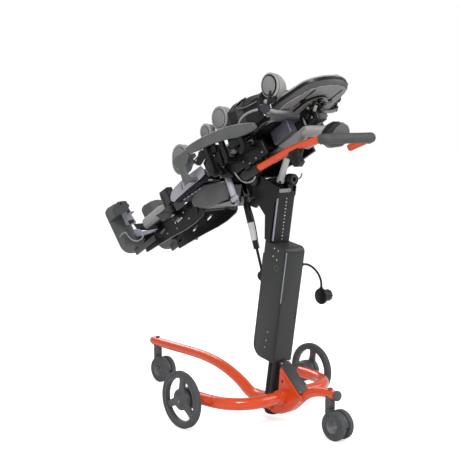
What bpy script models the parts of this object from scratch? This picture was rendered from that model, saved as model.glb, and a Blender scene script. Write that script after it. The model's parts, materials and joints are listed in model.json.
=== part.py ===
# Standing frame: a wheeled diamond base, a leaning lift column and a tilting body support.
# Lengths below are in millimetres and angles in degrees; the meshes are scaled to metres.
# +X is the user's right, +Y is forward to the foot end, +Z is up, floor at Z = 0.

import math

import bmesh
import bpy
from mathutils import Matrix, Vector

UNIT = 0.001
GAP = 0.3

# Base
WHEEL_R = 100.0
WHEEL_W = 28.0
WHEEL_FACE_X = 330.0
AXLE_Y = 108.0
RIM_OPENING_R = 76.0
TYRE_DEPTH = 15.0
WHEEL_HUB_R = 37.0
SPOKE_W = 27.0
SPOKES = 3
WHEEL_CAP_OUT = 3.0
STUB_AXLE_R = 8.0
STUB_LEN = 13.0
BEARING_R = 39.0
BEARING_LEN = 46.0
CROSS_Y = -92.0
CROSS_R = 21.2
SIDE_LEG_REACH = 252.0
SOCKET_R = 25.5
SOCKET_END_X = 46.0
HUB_HALF_W = 25.0
HUB_FRONT_Y = 74.0
HUB_PLATE_W = 48.0
HUB_PLATE_T = 5.0
WEDGE_TOP_Z = 205.0
WEDGE_TOP_Y = -78.0
WEDGE_END_Y = -184.0
WEDGE_END_Z = 112.0
FRONT_LEG_Z = 155.0
FRONT_LEG_R = 18.0
FRONT_LEG_HUB_R = 21.0
FRONT_LEG_HUB_Z = 63.0
FRONT_LEG_TIP = 38.0
REAR_LEG_Z = 148.0
REAR_LEG_R = 16.0
REAR_LEG_TIP = 27.0
REAR_CAP_LEN = 12.0
FRONT_STEM_Y = 668.0
REAR_STEM_Y = -293.0
STEM_R = 16.5
STEM_BOTTOM_Z = 101.0
STEM_BOLT_R = 5.0
BOLT_HEAD_R = 8.5
BOLT_HEAD_H = 5.0
CASTER_R = 50.0
CASTER_TRAIL = 36.0
CASTER_WHEEL_W = 21.0
CASTER_HALF_W = 29.5
CASTER_BORE_R = 24.0
CASTER_SLEEVE_R = 29.0
CASTER_HOOD_R = 45.0

# Mast, housing and lift column, in the leaning mast frame
LEAN = 9.3
MAST_Y = -4.0
MAST_W = 60.0
MAST_D = 37.0
MAST_FOOT_A = 24.0
MAST_FOOT_R = 26.5
HOUSING_W = 90.0
HOUSING_WALL = 2.5
HOUSING_BOTTOM_A = 219.0
HOUSING_TOP_A = 634.0
MAST_BELOW_TOP = 38.0
MAST_TOP_A = HOUSING_TOP_A - MAST_BELOW_TOP
HOUSING_FRONT_R = 45.0
HOUSING_BACK_R = 20.0
COVER_SPLIT = 9.0
INNER_W = 74.0
INNER_D = 30.0
INNER_WALL = 3.0
INNER_BACK_Q = 54.0
INNER_FOOT_A = 292.0
INNER_ABOVE_HOUSING = 172.0
INNER_TOP_A = HOUSING_TOP_A + INNER_ABOVE_HOUSING
OUTER_WALL = 2.7
OUTER_FOOT_A = 266.0
OUTER_BELOW_TOP = 8.0
OUTER_TOP_A = HOUSING_TOP_A - OUTER_BELOW_TOP
OUTER_BACK_Q = INNER_BACK_Q - GAP - OUTER_WALL
OUTER_FRONT_Q = INNER_BACK_Q + INNER_D + GAP + OUTER_WALL
HOUSING_BACK_Q = -MAST_D / 2 - GAP - HOUSING_WALL
HOUSING_FRONT_Q = OUTER_FRONT_Q + GAP + HOUSING_WALL
GROOVE_W = 6.0
GROOVE_D = 1.6
SCREW_R = 9.0
SCREW_PITCH = 30.0
SCREW_BELOW_TOP = 26.0
SCREW_TOP_A = OUTER_TOP_A - SCREW_BELOW_TOP

# Column head and tilt pivot
PIVOT_Q = 178.488
PIVOT_ABOVE_TOP = 24.066
PIVOT_A = INNER_TOP_A + PIVOT_ABOVE_TOP
PIVOT_Y = MAST_Y + PIVOT_Q * math.cos(math.radians(LEAN)) - PIVOT_A * math.sin(math.radians(LEAN))
PIVOT_Z = PIVOT_Q * math.sin(math.radians(LEAN)) + PIVOT_A * math.cos(math.radians(LEAN))
AXLE_R = 10.0
CHEEK_T = 5.0
HEAD_ABOVE_HOUSING = 4.0
HEAD_BOTTOM_A = HOUSING_TOP_A + HEAD_ABOVE_HOUSING
HEAD_CHEEK_R = 25.0
HEAD_FLARE = 0.486
HEAD_PLATE_T = 5.0
DROP_PLATE_W = 34.0
ACT_FORWARD = 2.0
ACT_BELOW = 342.0
ACT_Y = PIVOT_Y + ACT_FORWARD
ACT_Z = PIVOT_Z - ACT_BELOW
ACT_R = 11.0
ACT_ROD_R = 5.0
SPRING_LEN = 172.0
SPRING_NECK = 26.0
SPRING_ROD = 180.0
SWING_ROOM = 74.0
LUG_R = 16.0
ACT_PIN_R = 5.0
ACT_EYE_R = 11.0
ACT_EYE_W = 16.0
ACT_PIN_PLAY = 2.5
ACT_TOP_S = -120.0
ACT_TOP_H = -4.0
DRUM_R = 20.0
DRUM_LEN = 44.0
DRUM_BEHIND = 106.0
DRUM_BELOW = 3.0
DRUM_Y = PIVOT_Y - DRUM_BEHIND
DRUM_Z = PIVOT_Z - DRUM_BELOW
LEVER_R = 9.0
LEVER_LEN = 74.0

# Body support, in the tilted body frame: s runs to the head, h away from the board
TILT = 30.0
BEAM_W = 56.0
BEAM_D = 36.0
BEAM_H = 46.0
BEAM_FOOT_S = -330.0
BEAM_HEAD_S = 298.0
YOKE_X = 45.0
YOKE_T = 5.0
YOKE_R = 24.0
YOKE_HALF_S = 92.0
RAIL_X = 152.0
RAIL_W = 26.0
RAIL_BAND_T = 14.0
RAIL_UPPER = ((-158, 208), (-128, 209), (-98, 206), (-47, 198), (-5, 189), (35, 179), (95, 162), (144, 142),
              (186, 123), (206, 112))
RAIL_LOWER = ((-150, 187), (-136, 180), (-94, 168), (-35, 157), (14, 143), (67, 126), (111, 108), (148, 98),
              (192, 90), (210, 92))
RAIL_POSTS = (-62, 22, 120)
RAIL_BRACKET = ((-150, 202), (-188, 208), (-227, 211), (-243, 198), (-238, 176), (-226, 167), (-229, 114),
                (-222, 99), (-186, 97), (-194, 139), (-191, 155), (-172, 167), (-150, 180))
CHEST_PAD_S = 42.0
CHEST_PAD_H = 220.0
CHEST_PAD_R = 43.0
CHEST_PAD_T = 32.0
WAIST_PAD_S = -48.0
WAIST_PAD_H = 216.0
WAIST_PAD_R = 31.0
TRUNK_HALF = 112.0
TRUNK_S = -56.0
TRUNK_LEN = 288.0
TRUNK_H = 104.0
TRUNK_T = 38.0
BOLSTER_W = 26.0
BOLSTER = ((60, 122), (72, 150), (91, 168), (128, 177), (165, 174), (200, 160), (218, 122))
STAND_FOOT_S = -16.0
STAND_HEAD_S = 156.0
CONTROL_S = 162.0
CONTROL_LEN = 92.0
CONTROL_HALF = 60.0
CONTROL_FOOT_H = 47.0
COVER_HALF = 42.0
COVER_END = 344.0
BELT_S = 88.0
BELT_W = 122.0
BELT_TOP = 264.0
BELT_FALL = 40.0
BELT_T = 5.0
SHELL_S = 258.0
SHELL_END_S = 460.0
SHELL_H = 110.0
SHELL_RIM = 28.0
SHELL_DISH = 11.0
SHELL_FOOT_HALF = 125.0
SHELL_HEAD_HALF = 106.0
SHELL_WALL = 4.0
SHELL_SLOT_X = 62.0
SHELL_SLOT_W = 7.0
SHELL_SLOT_S = 306.0
SHELL_SLOT_LEN = 112.0
SLIDE_PIN_S = SHELL_SLOT_S + 46.0
BACK_CUSHION_T = 32.0
HEAD_PAD_S = 327.0
HEAD_PAD_H = 180.0
HEAD_ARM_S = 290.0
HEAD_PAD_R = 42.0
HEAD_PAD_T = 50.0
HEAD_PAD_TAPER = 0.7
HEAD_PLATE_X = 150.0
SEAT_HALF = 95.0
SEAT_WALL = 5.0
SEAT_FOOT_S = -302.0
SEAT_HEAD_S = -78.0
HIP_PAD_S = -236.0
HIP_PAD_H = 206.0
HIP_PAD_R = 48.0
HIP_PAD_LONG = 9.0
HIP_PAD_T = 30.0
HIP_PAD_TURN = 30.0
HIP_PLATE_X = 128.0
HIP_PLATE_T = 5.0
HIP_BOSS_S = -222.0
HIP_BOSS_H = 192.0
HIP_BOSS_R = 9.0
THIGH_S = -384.0
THIGH_LEN = 240.0
THIGH_HALF = 114.0
THIGH_NOTCH_W = 44.0
THIGH_NOTCH_LEN = 130.0
THIGH_H = 99.0
THIGH_T = 34.0
THIGH_BAR_S = -270.0
THIGH_SIDE_T = 4.0
THIGH_SIDE_FOOT_S = -366.0
THIGH_SIDE_HEAD_S = -150.0
THIGH_SIDE_TOP_H = 127.0
KNEE_S = -300.0
KNEE_H = 30.0
KNEE_R = 9.0
LEG_X = 76.0
LEG_T = 8.0
LEG_HEAD_R = 42.0
LEG_FOOT_S = -664.0
LEG_SLOT_W = 9.0
LEG_SLOT_LEN = 36.0
LEG_SLOTS = (-628, -530, -428)
CALF_H = 85.0
CALF_S = -602.0
CALF_LEN = 160.0
CALF_T = 48.0
CALF_W = 88.0
KNEE_BLOCK_S = -420.0
KNEE_BLOCK_H = 176.0
FOOT_S = -731.0
FOOT_H = 52.0
FOOT_SLANT = 10.7
FOOT_LEN = 224.0
TOE_RISE = 58.0
ANKLE_RISE = 84.0
FOOT_W = 92.0
FOOT_T = 10.0
FOOT_X = 90.0
HEEL_DEPTH = 58.0
FOOT_ARM_LEN = 150.0

# Push bar
BAR_X = 108.0
BAR_R = 12.5
BAR_FOOT_Y = -58.0
BAR_FOOT_Z = 897.0
BAR_SLOPE = 23.0
BAR_STRAIGHT = 170.0
GRIP_Y = -370.0
GRIP_Z = 1000.0
GRIP_R = 17.0
SLEEVE_R = 16.5
SLEEVE_LEN = 84.0
BAR_INSERT = 60.0
SLEEVE_FLOOR = 10.0
RIGHT_ARM_LEN = 104.0

BAR_BEND = 30.0
SLEEVE_S = 64.0
SLEEVE_H = -2.0
RELEASE_Y = -222.0
RELEASE_W = 24.0
HANDSET_X = -34.0
HANDSET_T = 24.0

# Charging lead
LEAD_R = 4.0
LEAD_Y = -98.0
LEAD_Z = 556.0
GLAND_LEN = 12.0
LEAD_OUT = 96.0
LEAD_DROP = 90.0
LEAD_POINTS = 7
PLUG_R = 29.0
PLUG_T = 13.0
PLUG_NOSE_R = 20.5
PLUG_NOSE_LEN = 34.0
PLUG_REACH = 33.0

lean = math.radians(LEAN)
tilt = math.radians(TILT)
MAST_M = Matrix(((1, 0, 0, 0), (0, math.cos(lean), -math.sin(lean), MAST_Y),
                 (0, math.sin(lean), math.cos(lean), 0), (0, 0, 0, 1)))
BODY_M = Matrix(((1, 0, 0, 0), (0, -math.cos(tilt), math.sin(tilt), PIVOT_Y),
                 (0, math.sin(tilt), math.cos(tilt), PIVOT_Z), (0, 0, 0, 1)))
WORLD_M = Matrix.Identity(4)


def mast(x, q, a):
    return MAST_M @ Vector((x, q, a))


def body(x, s, h):
    return BODY_M @ Vector((x, s, h))


def in_body(point):
    return BODY_M.inverted() @ Vector(point)


def clear_scene():
    for obj in list(bpy.data.objects):
        bpy.data.objects.remove(obj)
    for block in (bpy.data.meshes, bpy.data.curves, bpy.data.materials):
        for item in list(block):
            block.remove(item)


def material(name, colour, rough=0.5, metal=0.0):
    mat = bpy.data.materials.get(name)
    if mat is None:
        mat = bpy.data.materials.new(name)
        mat.use_nodes = True
        shader = mat.node_tree.nodes["Principled BSDF"]
        shader.inputs["Base Color"].default_value = (*colour, 1)
        shader.inputs["Roughness"].default_value = rough
        shader.inputs["Metallic"].default_value = metal
        mat.diffuse_color = (*colour, 1)
    return mat


# Solids made with bmesh

def box(x0, x1, y0, y1, z0, z1, bevel=0.0, segments=1):
    bm = bmesh.new()
    bmesh.ops.create_cube(bm, size=1.0)
    scale = Matrix.Diagonal((x1 - x0, y1 - y0, z1 - z0, 1))
    move = Matrix.Translation(((x0 + x1) / 2, (y0 + y1) / 2, (z0 + z1) / 2))
    bm.transform(move @ scale)
    if bevel:
        bmesh.ops.bevel(bm, geom=bm.edges[:], offset=bevel, segments=segments, affect="EDGES", profile=0.5)
    return bm


def loft(rings, closed=False):
    bm = bmesh.new()
    loops = [[bm.verts.new(p) for p in ring] for ring in rings]
    count = len(loops[0])
    pairs = list(zip(loops, loops[1:]))
    if closed:
        pairs.append((loops[-1], loops[0]))
    for low, high in pairs:
        for i in range(count):
            j = (i + 1) % count
            bm.faces.new((low[i], low[j], high[j], high[i]))
    if not closed:
        bm.faces.new(reversed(loops[0]))
        bm.faces.new(loops[-1])
    bmesh.ops.recalc_face_normals(bm, faces=bm.faces)
    return bm


def frame_to(direction):
    return Vector(direction).to_track_quat("Z", "Y").to_matrix().to_4x4()


def circle(radius, sides, turn=0.0):
    return [Vector((radius * math.cos(turn + math.tau * i / sides),
                    radius * math.sin(turn + math.tau * i / sides), 0)) for i in range(sides)]


def turned(profile, start, axis, sides=24, ring=False):
    """Revolve (radius, distance) pairs about an axis; ring joins the last pair to the first."""
    place = Matrix.Translation(start) @ frame_to(axis)
    rings = []
    for radius, reach in profile:
        rings.append([place @ (p + Vector((0, 0, reach))) for p in circle(radius, sides)])
    return loft(rings, closed=ring)


def cylinder(start, end, radius, sides=16, chamfer=0.0):
    axis = Vector(end) - Vector(start)
    length = axis.length
    if chamfer:
        profile = [(radius - chamfer, 0), (radius, chamfer), (radius, length - chamfer),
                   (radius - chamfer, length)]
    else:
        profile = [(radius, 0), (radius, length)]
    return turned(profile, start, axis, sides)


def prism(outline, low, high, bevel=0.0, segments=1):
    """Extrude an outline of (y, z) pairs along X."""
    bm = loft([[Vector((x, y, z)) for y, z in outline] for x in (low, high)])
    if bevel:
        rim = [e for e in bm.edges if abs(e.verts[0].co.x - e.verts[1].co.x) < 1e-6]
        bmesh.ops.bevel(bm, geom=rim, offset=bevel, segments=segments, affect="EDGES", profile=0.5)
    return bm


def smooth_path(points, steps):
    """Catmull-Rom points through a route."""
    route = [Vector(p) for p in points]
    route = [2 * route[0] - route[1]] + route + [2 * route[-1] - route[-2]]
    result = []
    for i in range(1, len(route) - 2):
        a, b, c, d = route[i - 1:i + 3]
        for k in range(steps):
            t = k / steps
            result.append(0.5 * (2 * b + (c - a) * t + (2 * a - 5 * b + 4 * c - d) * t ** 2
                                 + (3 * b - a - 3 * c + d) * t ** 3))
    result.append(route[-2])
    return result


def tube_rings(points, radius, sides, round_end=False):
    """Rings of a round bar along a path; radius is a number or a pair that runs along the path."""
    radii = radius if isinstance(radius, tuple) else (radius, radius)
    count = len(points)
    stations = []
    for i, point in enumerate(points):
        before = points[max(i - 1, 0)]
        after = points[min(i + 1, count - 1)]
        stations.append((Vector(point), (Vector(after) - Vector(before)).normalized(),
                         radii[0] + (radii[1] - radii[0]) * i / (count - 1)))
    if round_end:
        p, t, r = stations[-1]
        stations += [(p + t * r * reach, t, r * width) for reach, width in ((0.5, 0.84), (0.9, 0.42))]
    side = stations[0][1].orthogonal().normalized()
    rings = []
    for p, t, r in stations:
        side = (side - t * side.dot(t)).normalized()
        up = t.cross(side)
        rings.append([p + (side * math.cos(math.tau * i / sides) + up * math.sin(math.tau * i / sides)) * r
                      for i in range(sides)])
    return rings


def sweep(points, radius, sides=16, round_end=False):
    return loft(tube_rings(points, radius, sides, round_end))


def sleeve(points, outer, inner, sides=16):
    """A hollow tube along a path."""
    return loft(tube_rings(points, outer, sides) + tube_rings(points, inner, sides)[::-1], closed=True)


def arc(centre, radius, start, end, steps):
    cy, cz = centre
    return [(cy + radius * math.cos(math.radians(start + (end - start) * i / steps)),
             cz + radius * math.sin(math.radians(start + (end - start) * i / steps)))
            for i in range(steps + 1)]


def capsule_outline(start, end, radius, steps=8):
    """A slot outline of (y, z) pairs between two centres."""
    (ay, az), (by, bz) = start, end
    turn = math.degrees(math.atan2(bz - az, by - ay))
    return (arc((by, bz), radius, turn - 90, turn + 90, steps)
            + arc((ay, az), radius, turn + 90, turn + 270, steps))


def cushion(outline, low, high, rings=4):
    """A crowned pad on an outline of (x, y) pairs: a flat back and a rounded top edge."""
    cx = sum(p[0] for p in outline) / len(outline)
    cy = sum(p[1] for p in outline) / len(outline)
    depth = high - low
    stations = [(0.90, low), (0.98, low + 0.12 * depth)]
    for i in range(rings + 1):
        t = math.pi / 2 * i / rings
        stations.append((0.4 + 0.6 * max(math.cos(t), 0.0) ** 0.5, low + depth * (0.4 + 0.6 * math.sin(t))))
    return loft([[Vector((cx + (x - cx) * w, cy + (y - cy) * w, z)) for x, y in outline] for w, z in stations])


def rounded_rect(x0, x1, y0, y1, radius, steps=4):
    return (arc((x1 - radius, y0 + radius), radius, -90, 0, steps)
            + arc((x1 - radius, y1 - radius), radius, 0, 90, steps)
            + arc((x0 + radius, y1 - radius), radius, 90, 180, steps)
            + arc((x0 + radius, y0 + radius), radius, 180, 270, steps))


def scratch_object(bm, name):
    mesh = bpy.data.meshes.new(name)
    bm.to_mesh(mesh)
    bm.free()
    obj = bpy.data.objects.new(name, mesh)
    bpy.context.scene.collection.objects.link(obj)
    return obj


def boolean(target, tool, operation):
    """Join, cut or intersect two solids and return the result."""
    first = scratch_object(target, "first")
    second = scratch_object(tool, "second")
    step = first.modifiers.new("step", "BOOLEAN")
    step.operation = operation
    step.solver = "EXACT"
    step.object = second
    graph = bpy.context.evaluated_depsgraph_get()
    graph.update()
    result = bmesh.new()
    result.from_mesh(first.evaluated_get(graph).to_mesh())
    first.evaluated_get(graph).to_mesh_clear()
    for obj in (first, second):
        mesh = obj.data
        bpy.data.objects.remove(obj)
        bpy.data.meshes.remove(mesh)
    bmesh.ops.remove_doubles(result, verts=result.verts, dist=0.004)
    return result


def join(first, *others):
    for other in others:
        first = boolean(first, other, "UNION")
    return first


def cut(first, *others):
    for other in others:
        first = boolean(first, other, "DIFFERENCE")
    return first


def place(name, bm, mat, space=WORLD_M, origin=None):
    """Finish one node: move it into the world frame and put its origin on its axis."""
    bm.transform(space)
    at = Vector(origin) if origin is not None else Vector((0, 0, 0))
    bm.transform(Matrix.Translation(-at))
    bm.transform(Matrix.Scale(UNIT, 4))
    bmesh.ops.recalc_face_normals(bm, faces=bm.faces)
    if bm.calc_volume(signed=True) < 0:
        bmesh.ops.reverse_faces(bm, faces=bm.faces)
    mesh = bpy.data.meshes.new(name)
    bm.to_mesh(mesh)
    bm.free()
    mesh.materials.append(mat)
    mesh.shade_smooth()
    mesh.set_sharp_from_angle(angle=math.radians(35))
    obj = bpy.data.objects.new(name, mesh)
    obj.location = at * UNIT
    bpy.context.scene.collection.objects.link(obj)
    return obj


def mirrored(bm):
    bm.transform(Matrix.Diagonal((-1, 1, 1, 1)))
    bmesh.ops.reverse_faces(bm, faces=bm.faces)
    return bm


def pair(name, make, mat, space=WORLD_M, origin=None):
    """Build the left piece and its mirror image; the left one lies at negative X."""
    left = make()
    right = mirrored(left.copy())
    for side, bm, sign in (("left", left, 1), ("right", right, -1)):
        at = None if origin is None else Vector((sign * origin[0], origin[1], origin[2]))
        place(f"{side}_{name}", bm, mat, space, at)


# Base

def mast_section(q0, q1, a0, a1, half_x, bevel=0.0):
    bm = box(-half_x, half_x, q0, q1, a0, a1, bevel)
    bm.transform(MAST_M)
    return bm


def build_hub(orange, grey):
    floor_y = [(44, 42), (28, 33), (0, 27), (-50, 27), (-85, 35), (-112, 48), (-135, 66), (-153, 83),
               (-166, 100)]
    outline = floor_y + [(WEDGE_END_Y, WEDGE_END_Z), (WEDGE_TOP_Y, WEDGE_TOP_Z), (-70, 196), (-61, 100),
                         (20, 88), (44, 84)]
    casting = prism(outline, -HUB_HALF_W, HUB_HALF_W, 6)
    nose = cylinder((0, 20, FRONT_LEG_HUB_Z), (0, HUB_FRONT_Y, FRONT_LEG_HUB_Z), FRONT_LEG_HUB_R + 3.5, 14)
    casting = join(casting, nose)
    socket = cylinder((-SOCKET_END_X, CROSS_Y, WHEEL_R), (SOCKET_END_X, CROSS_Y, WHEEL_R), SOCKET_R, 16, 2)
    mast_room = mast_section(-MAST_D / 2 - GAP, MAST_D / 2 + GAP, -60, 330, MAST_W / 2 + GAP)
    boss = mast_section(-MAST_D / 2 - 7, MAST_D / 2 + 7, 42, 92, MAST_W / 2 + 7, 5)
    casting = join(casting, boss, socket)
    foot_room = cylinder((0, 0, 0), (0, 0, MAST_FOOT_A + 16 + GAP), MAST_FOOT_R + 3 * GAP, 18)
    foot_room.transform(MAST_M)
    casting = cut(casting, mast_room, foot_room)
    place("base_hub", casting, orange)
    run = Vector((0, WEDGE_END_Y - WEDGE_TOP_Y, WEDGE_END_Z - WEDGE_TOP_Z))
    plate = box(-HUB_PLATE_W / 2, HUB_PLATE_W / 2, 26 - run.length / 2, run.length / 2 + 12, GAP,
                GAP + HUB_PLATE_T, 2)
    angle = math.atan2(run.z, run.y)
    middle = Vector((0, (WEDGE_END_Y + WEDGE_TOP_Y) / 2, (WEDGE_END_Z + WEDGE_TOP_Z) / 2))
    plate.transform(Matrix.Translation(middle) @ Matrix.Rotation(angle + math.pi, 4, "X"))
    place("hub_plate", plate, grey)


def build_long_legs(orange):
    tip = FRONT_STEM_Y + FRONT_LEG_TIP
    route = [(0, HUB_FRONT_Y + 8, FRONT_LEG_HUB_Z), (0, 108, 71), (0, 150, 95), (0, 200, 117), (0, 260, 136),
             (0, 340, 150), (0, 430, FRONT_LEG_Z), (0, 560, FRONT_LEG_Z), (0, tip - FRONT_LEG_R, FRONT_LEG_Z)]
    path = [Vector((0, HUB_FRONT_Y + GAP, FRONT_LEG_HUB_Z))] + smooth_path(route, 2)
    tube = sweep(path, (FRONT_LEG_HUB_R, FRONT_LEG_R), 12, round_end=True)
    hole = cylinder((0, FRONT_STEM_Y, 0), (0, FRONT_STEM_Y, 2 * FRONT_LEG_Z), STEM_BOLT_R + GAP, 10)
    place("front_leg", cut(tube, hole), orange)
    end = REAR_STEM_Y - REAR_LEG_TIP
    route = [(0, -150, 96), (0, -172, 112), (0, -200, 131), (0, -236, 143), (0, -268, REAR_LEG_Z),
             (0, end, REAR_LEG_Z)]
    tube = sweep(smooth_path(route, 2), REAR_LEG_R, 12)
    cap = turned([(REAR_LEG_R + 1, 0), (REAR_LEG_R + 1, REAR_CAP_LEN - 4), (REAR_LEG_R - 3, REAR_CAP_LEN)],
                 (0, end + 0.05, REAR_LEG_Z), (0, -1, 0), 12)
    hole = cylinder((0, REAR_STEM_Y, 0), (0, REAR_STEM_Y, 2 * REAR_LEG_Z), STEM_BOLT_R + GAP, 10)
    outline = [(-60, 20), (-135.5, 65.5), (-153.5, 82.5), (-166.5, 99.5), (WEDGE_END_Y - 0.4, WEDGE_END_Z - 0.4),
               (WEDGE_END_Y - 2, WEDGE_END_Z + 40), (-60, 240)]
    room = prism(outline, -60, 60)
    place("rear_leg", cut(join(tube, cap), hole, room), orange)


def build_side_legs(orange):
    def make():
        inner = WHEEL_FACE_X - WHEEL_W - GAP
        bearing_x = inner - BEARING_LEN
        route = [(-SOCKET_END_X - GAP, CROSS_Y, WHEEL_R), (-90, CROSS_Y, WHEEL_R), (-135, CROSS_Y + 1, WHEEL_R),
                 (-180, CROSS_Y + 14, WHEEL_R), (-220, CROSS_Y + 46, WHEEL_R), (-243, CROSS_Y + 88, WHEEL_R),
                 (-SIDE_LEG_REACH, CROSS_Y + 130, WHEEL_R), (-bearing_x - GAP, AXLE_Y - 20, WHEEL_R)]
        tube = sweep(smooth_path(route, 2), CROSS_R, 12)
        bearing = turned([(BEARING_R - 5, 0), (BEARING_R, 5), (BEARING_R, BEARING_LEN - 4),
                          (BEARING_R - 4, BEARING_LEN), (STUB_AXLE_R, BEARING_LEN),
                          (STUB_AXLE_R, BEARING_LEN + STUB_LEN)],
                         (-bearing_x, AXLE_Y, WHEEL_R), (-1, 0, 0), 16)
        return join(tube, bearing)
    pair("leg", make, orange)


def build_wheels(grey):
    def make():
        face = -WHEEL_FACE_X
        back = face + WHEEL_W
        rim_r = RIM_OPENING_R
        tyre_r = WHEEL_R - TYRE_DEPTH
        ring = turned([(rim_r, 5), (tyre_r, 2), (WHEEL_R - 4, 2), (WHEEL_R, 8), (WHEEL_R, WHEEL_W - 8),
                       (WHEEL_R - 4, WHEEL_W - 2), (tyre_r, WHEEL_W - 2), (rim_r, WHEEL_W - 5)],
                      (face, AXLE_Y, WHEEL_R), (1, 0, 0), 26, ring=True)
        hub = turned([(12, -WHEEL_CAP_OUT), (21, 2.5 - WHEEL_CAP_OUT), (25, 6), (WHEEL_HUB_R, 7),
                      (WHEEL_HUB_R, WHEEL_W - 2)],
                     (face, AXLE_Y, WHEEL_R), (1, 0, 0), 18)
        for i in range(SPOKES):
            turn = math.radians(97 + 360 * i / SPOKES)
            spoke = loft([[Vector((x, w, z)) for x, w in
                           ((face + 8, -SPOKE_W / 2 * k), (face + WHEEL_W - 8, -SPOKE_W / 2 * k),
                            (face + WHEEL_W - 8, SPOKE_W / 2 * k), (face + 8, SPOKE_W / 2 * k))]
                          for z, k in ((WHEEL_HUB_R - 10, 1.15), (60, 0.9), (rim_r + 3, 1.1))])
            spoke.transform(Matrix.Translation((0, AXLE_Y, WHEEL_R)) @ Matrix.Rotation(turn - math.pi / 2, 4, "X"))
            hub = join(hub, spoke)
        wheel = join(ring, hub)
        bore = cylinder((face + 12, AXLE_Y, WHEEL_R), (back + 20, AXLE_Y, WHEEL_R), STUB_AXLE_R + GAP, 12)
        return cut(wheel, bore)
    pair("wheel", make, grey, origin=(-WHEEL_FACE_X + WHEEL_W / 2, AXLE_Y, WHEEL_R))


def build_caster(name, stem_y, leg_z, leg_r, black, grey):
    axle_y = stem_y - CASTER_TRAIL
    tube = cylinder((0, stem_y - 60, leg_z), (0, stem_y + 60, leg_z), leg_r + GAP, 20)
    stem = cylinder((0, stem_y, STEM_BOTTOM_Z), (0, stem_y, leg_z), STEM_R, 16, 1.5)
    stem = cut(stem, tube)
    shank = cylinder((0, stem_y, STEM_BOTTOM_Z + 5), (0, stem_y, leg_z + leg_r + GAP + 1), STEM_BOLT_R, 10)
    head = turned([(BOLT_HEAD_R, 0), (BOLT_HEAD_R, BOLT_HEAD_H - 2), (BOLT_HEAD_R - 2.5, BOLT_HEAD_H)],
                  (0, stem_y, leg_z + leg_r + GAP), (0, 0, 1), 12)
    place(f"{name}_caster_stem", join(stem, shank, head), black)
    inner_half = CASTER_HALF_W - CASTER_WHEEL_W - 1.5
    hood = prism(arc((axle_y, CASTER_R), CASTER_HOOD_R, 0, 180, 10), -inner_half, inner_half, 1.5)
    disc = cylinder((-inner_half, axle_y, CASTER_R), (inner_half, axle_y, CASTER_R), CASTER_SLEEVE_R + 8, 20)
    neck = cylinder((0, stem_y, CASTER_R + 6), (0, stem_y, STEM_BOTTOM_Z - GAP), STEM_R, 16, 1.5)
    fork = join(hood, disc, neck)
    bore = cylinder((-60, axle_y, CASTER_R), (60, axle_y, CASTER_R), CASTER_SLEEVE_R + GAP, 22)
    gap_l = cylinder((-inner_half - 40, axle_y, CASTER_R), (-inner_half, axle_y, CASTER_R), CASTER_R + 2.5, 22)
    gap_r = cylinder((inner_half, axle_y, CASTER_R), (inner_half + 40, axle_y, CASTER_R), CASTER_R + 2.5, 22)
    fork = cut(fork, bore, gap_l, gap_r)
    place(f"{name}_caster_fork", fork, black, origin=(0, stem_y, STEM_BOTTOM_Z))
    half = CASTER_HALF_W
    width = CASTER_WHEEL_W
    side = [(CASTER_BORE_R, half - 2), (CASTER_R - 6, half - 1),
            (CASTER_R, half - 5), (CASTER_R, half - width + 4),
            (CASTER_SLEEVE_R, half - width)]
    profile = side + [(r, -t) for r, t in reversed(side)]
    wheels = turned(profile, (0, axle_y, CASTER_R), (1, 0, 0), 22, ring=True)
    place(f"{name}_caster_wheels", wheels, grey, origin=(0, axle_y, CASTER_R))


# Mast and lift column

def build_mast(black):
    post = box(-MAST_W / 2, MAST_W / 2, -MAST_D / 2, MAST_D / 2, MAST_FOOT_A + 12, MAST_TOP_A, 4)
    groove = box(-MAST_W / 2 - 1, -MAST_W / 2 + 2, -3, 3, MAST_FOOT_A + 80, MAST_TOP_A + 1)
    post = cut(post, groove, mirrored(groove.copy()))
    foot = turned([(17, 0), (24, 3), (MAST_FOOT_R, 9), (MAST_FOOT_R, 16), (24, 22)], (0, 0, MAST_FOOT_A - 6),
                  (0, 0, 1), 18)
    spacer = OUTER_BACK_Q - GAP
    low = box(-22, 22, MAST_D / 2 - 2, spacer, OUTER_FOOT_A + 10, OUTER_FOOT_A + 40)
    high = box(-22, 22, MAST_D / 2 - 2, spacer, MAST_TOP_A - 36, MAST_TOP_A - 6)
    place("mast", join(post, foot, low, high), black, MAST_M)


def hollow_profile(half_x, q0, q1, wall, a0, a1, bevel):
    outer = box(-half_x, half_x, q0, q1, a0, a1)
    edges = [e for e in outer.edges if abs(e.verts[0].co.z - e.verts[1].co.z) > 1]
    bmesh.ops.bevel(outer, geom=edges, offset=bevel, segments=2, affect="EDGES", profile=0.5)
    inner = box(-half_x + wall, half_x - wall, q0 + wall, q1 - wall, a0 - 5, a1 + 5)
    return cut(outer, inner)


def housing_outline(inset):
    q0 = HOUSING_BACK_Q + inset
    q1 = HOUSING_FRONT_Q - inset
    a0 = HOUSING_BOTTOM_A + inset
    a1 = HOUSING_TOP_A - inset
    front_r = HOUSING_FRONT_R - inset
    back_r = HOUSING_BACK_R - inset
    return ([(q0, a0)] + arc((q1 - front_r, a0 + front_r), front_r, -90, 0, 5) + [(q1, a1)]
            + arc((q0 + back_r, a1 - back_r), back_r, 90, 180, 5))


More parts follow.
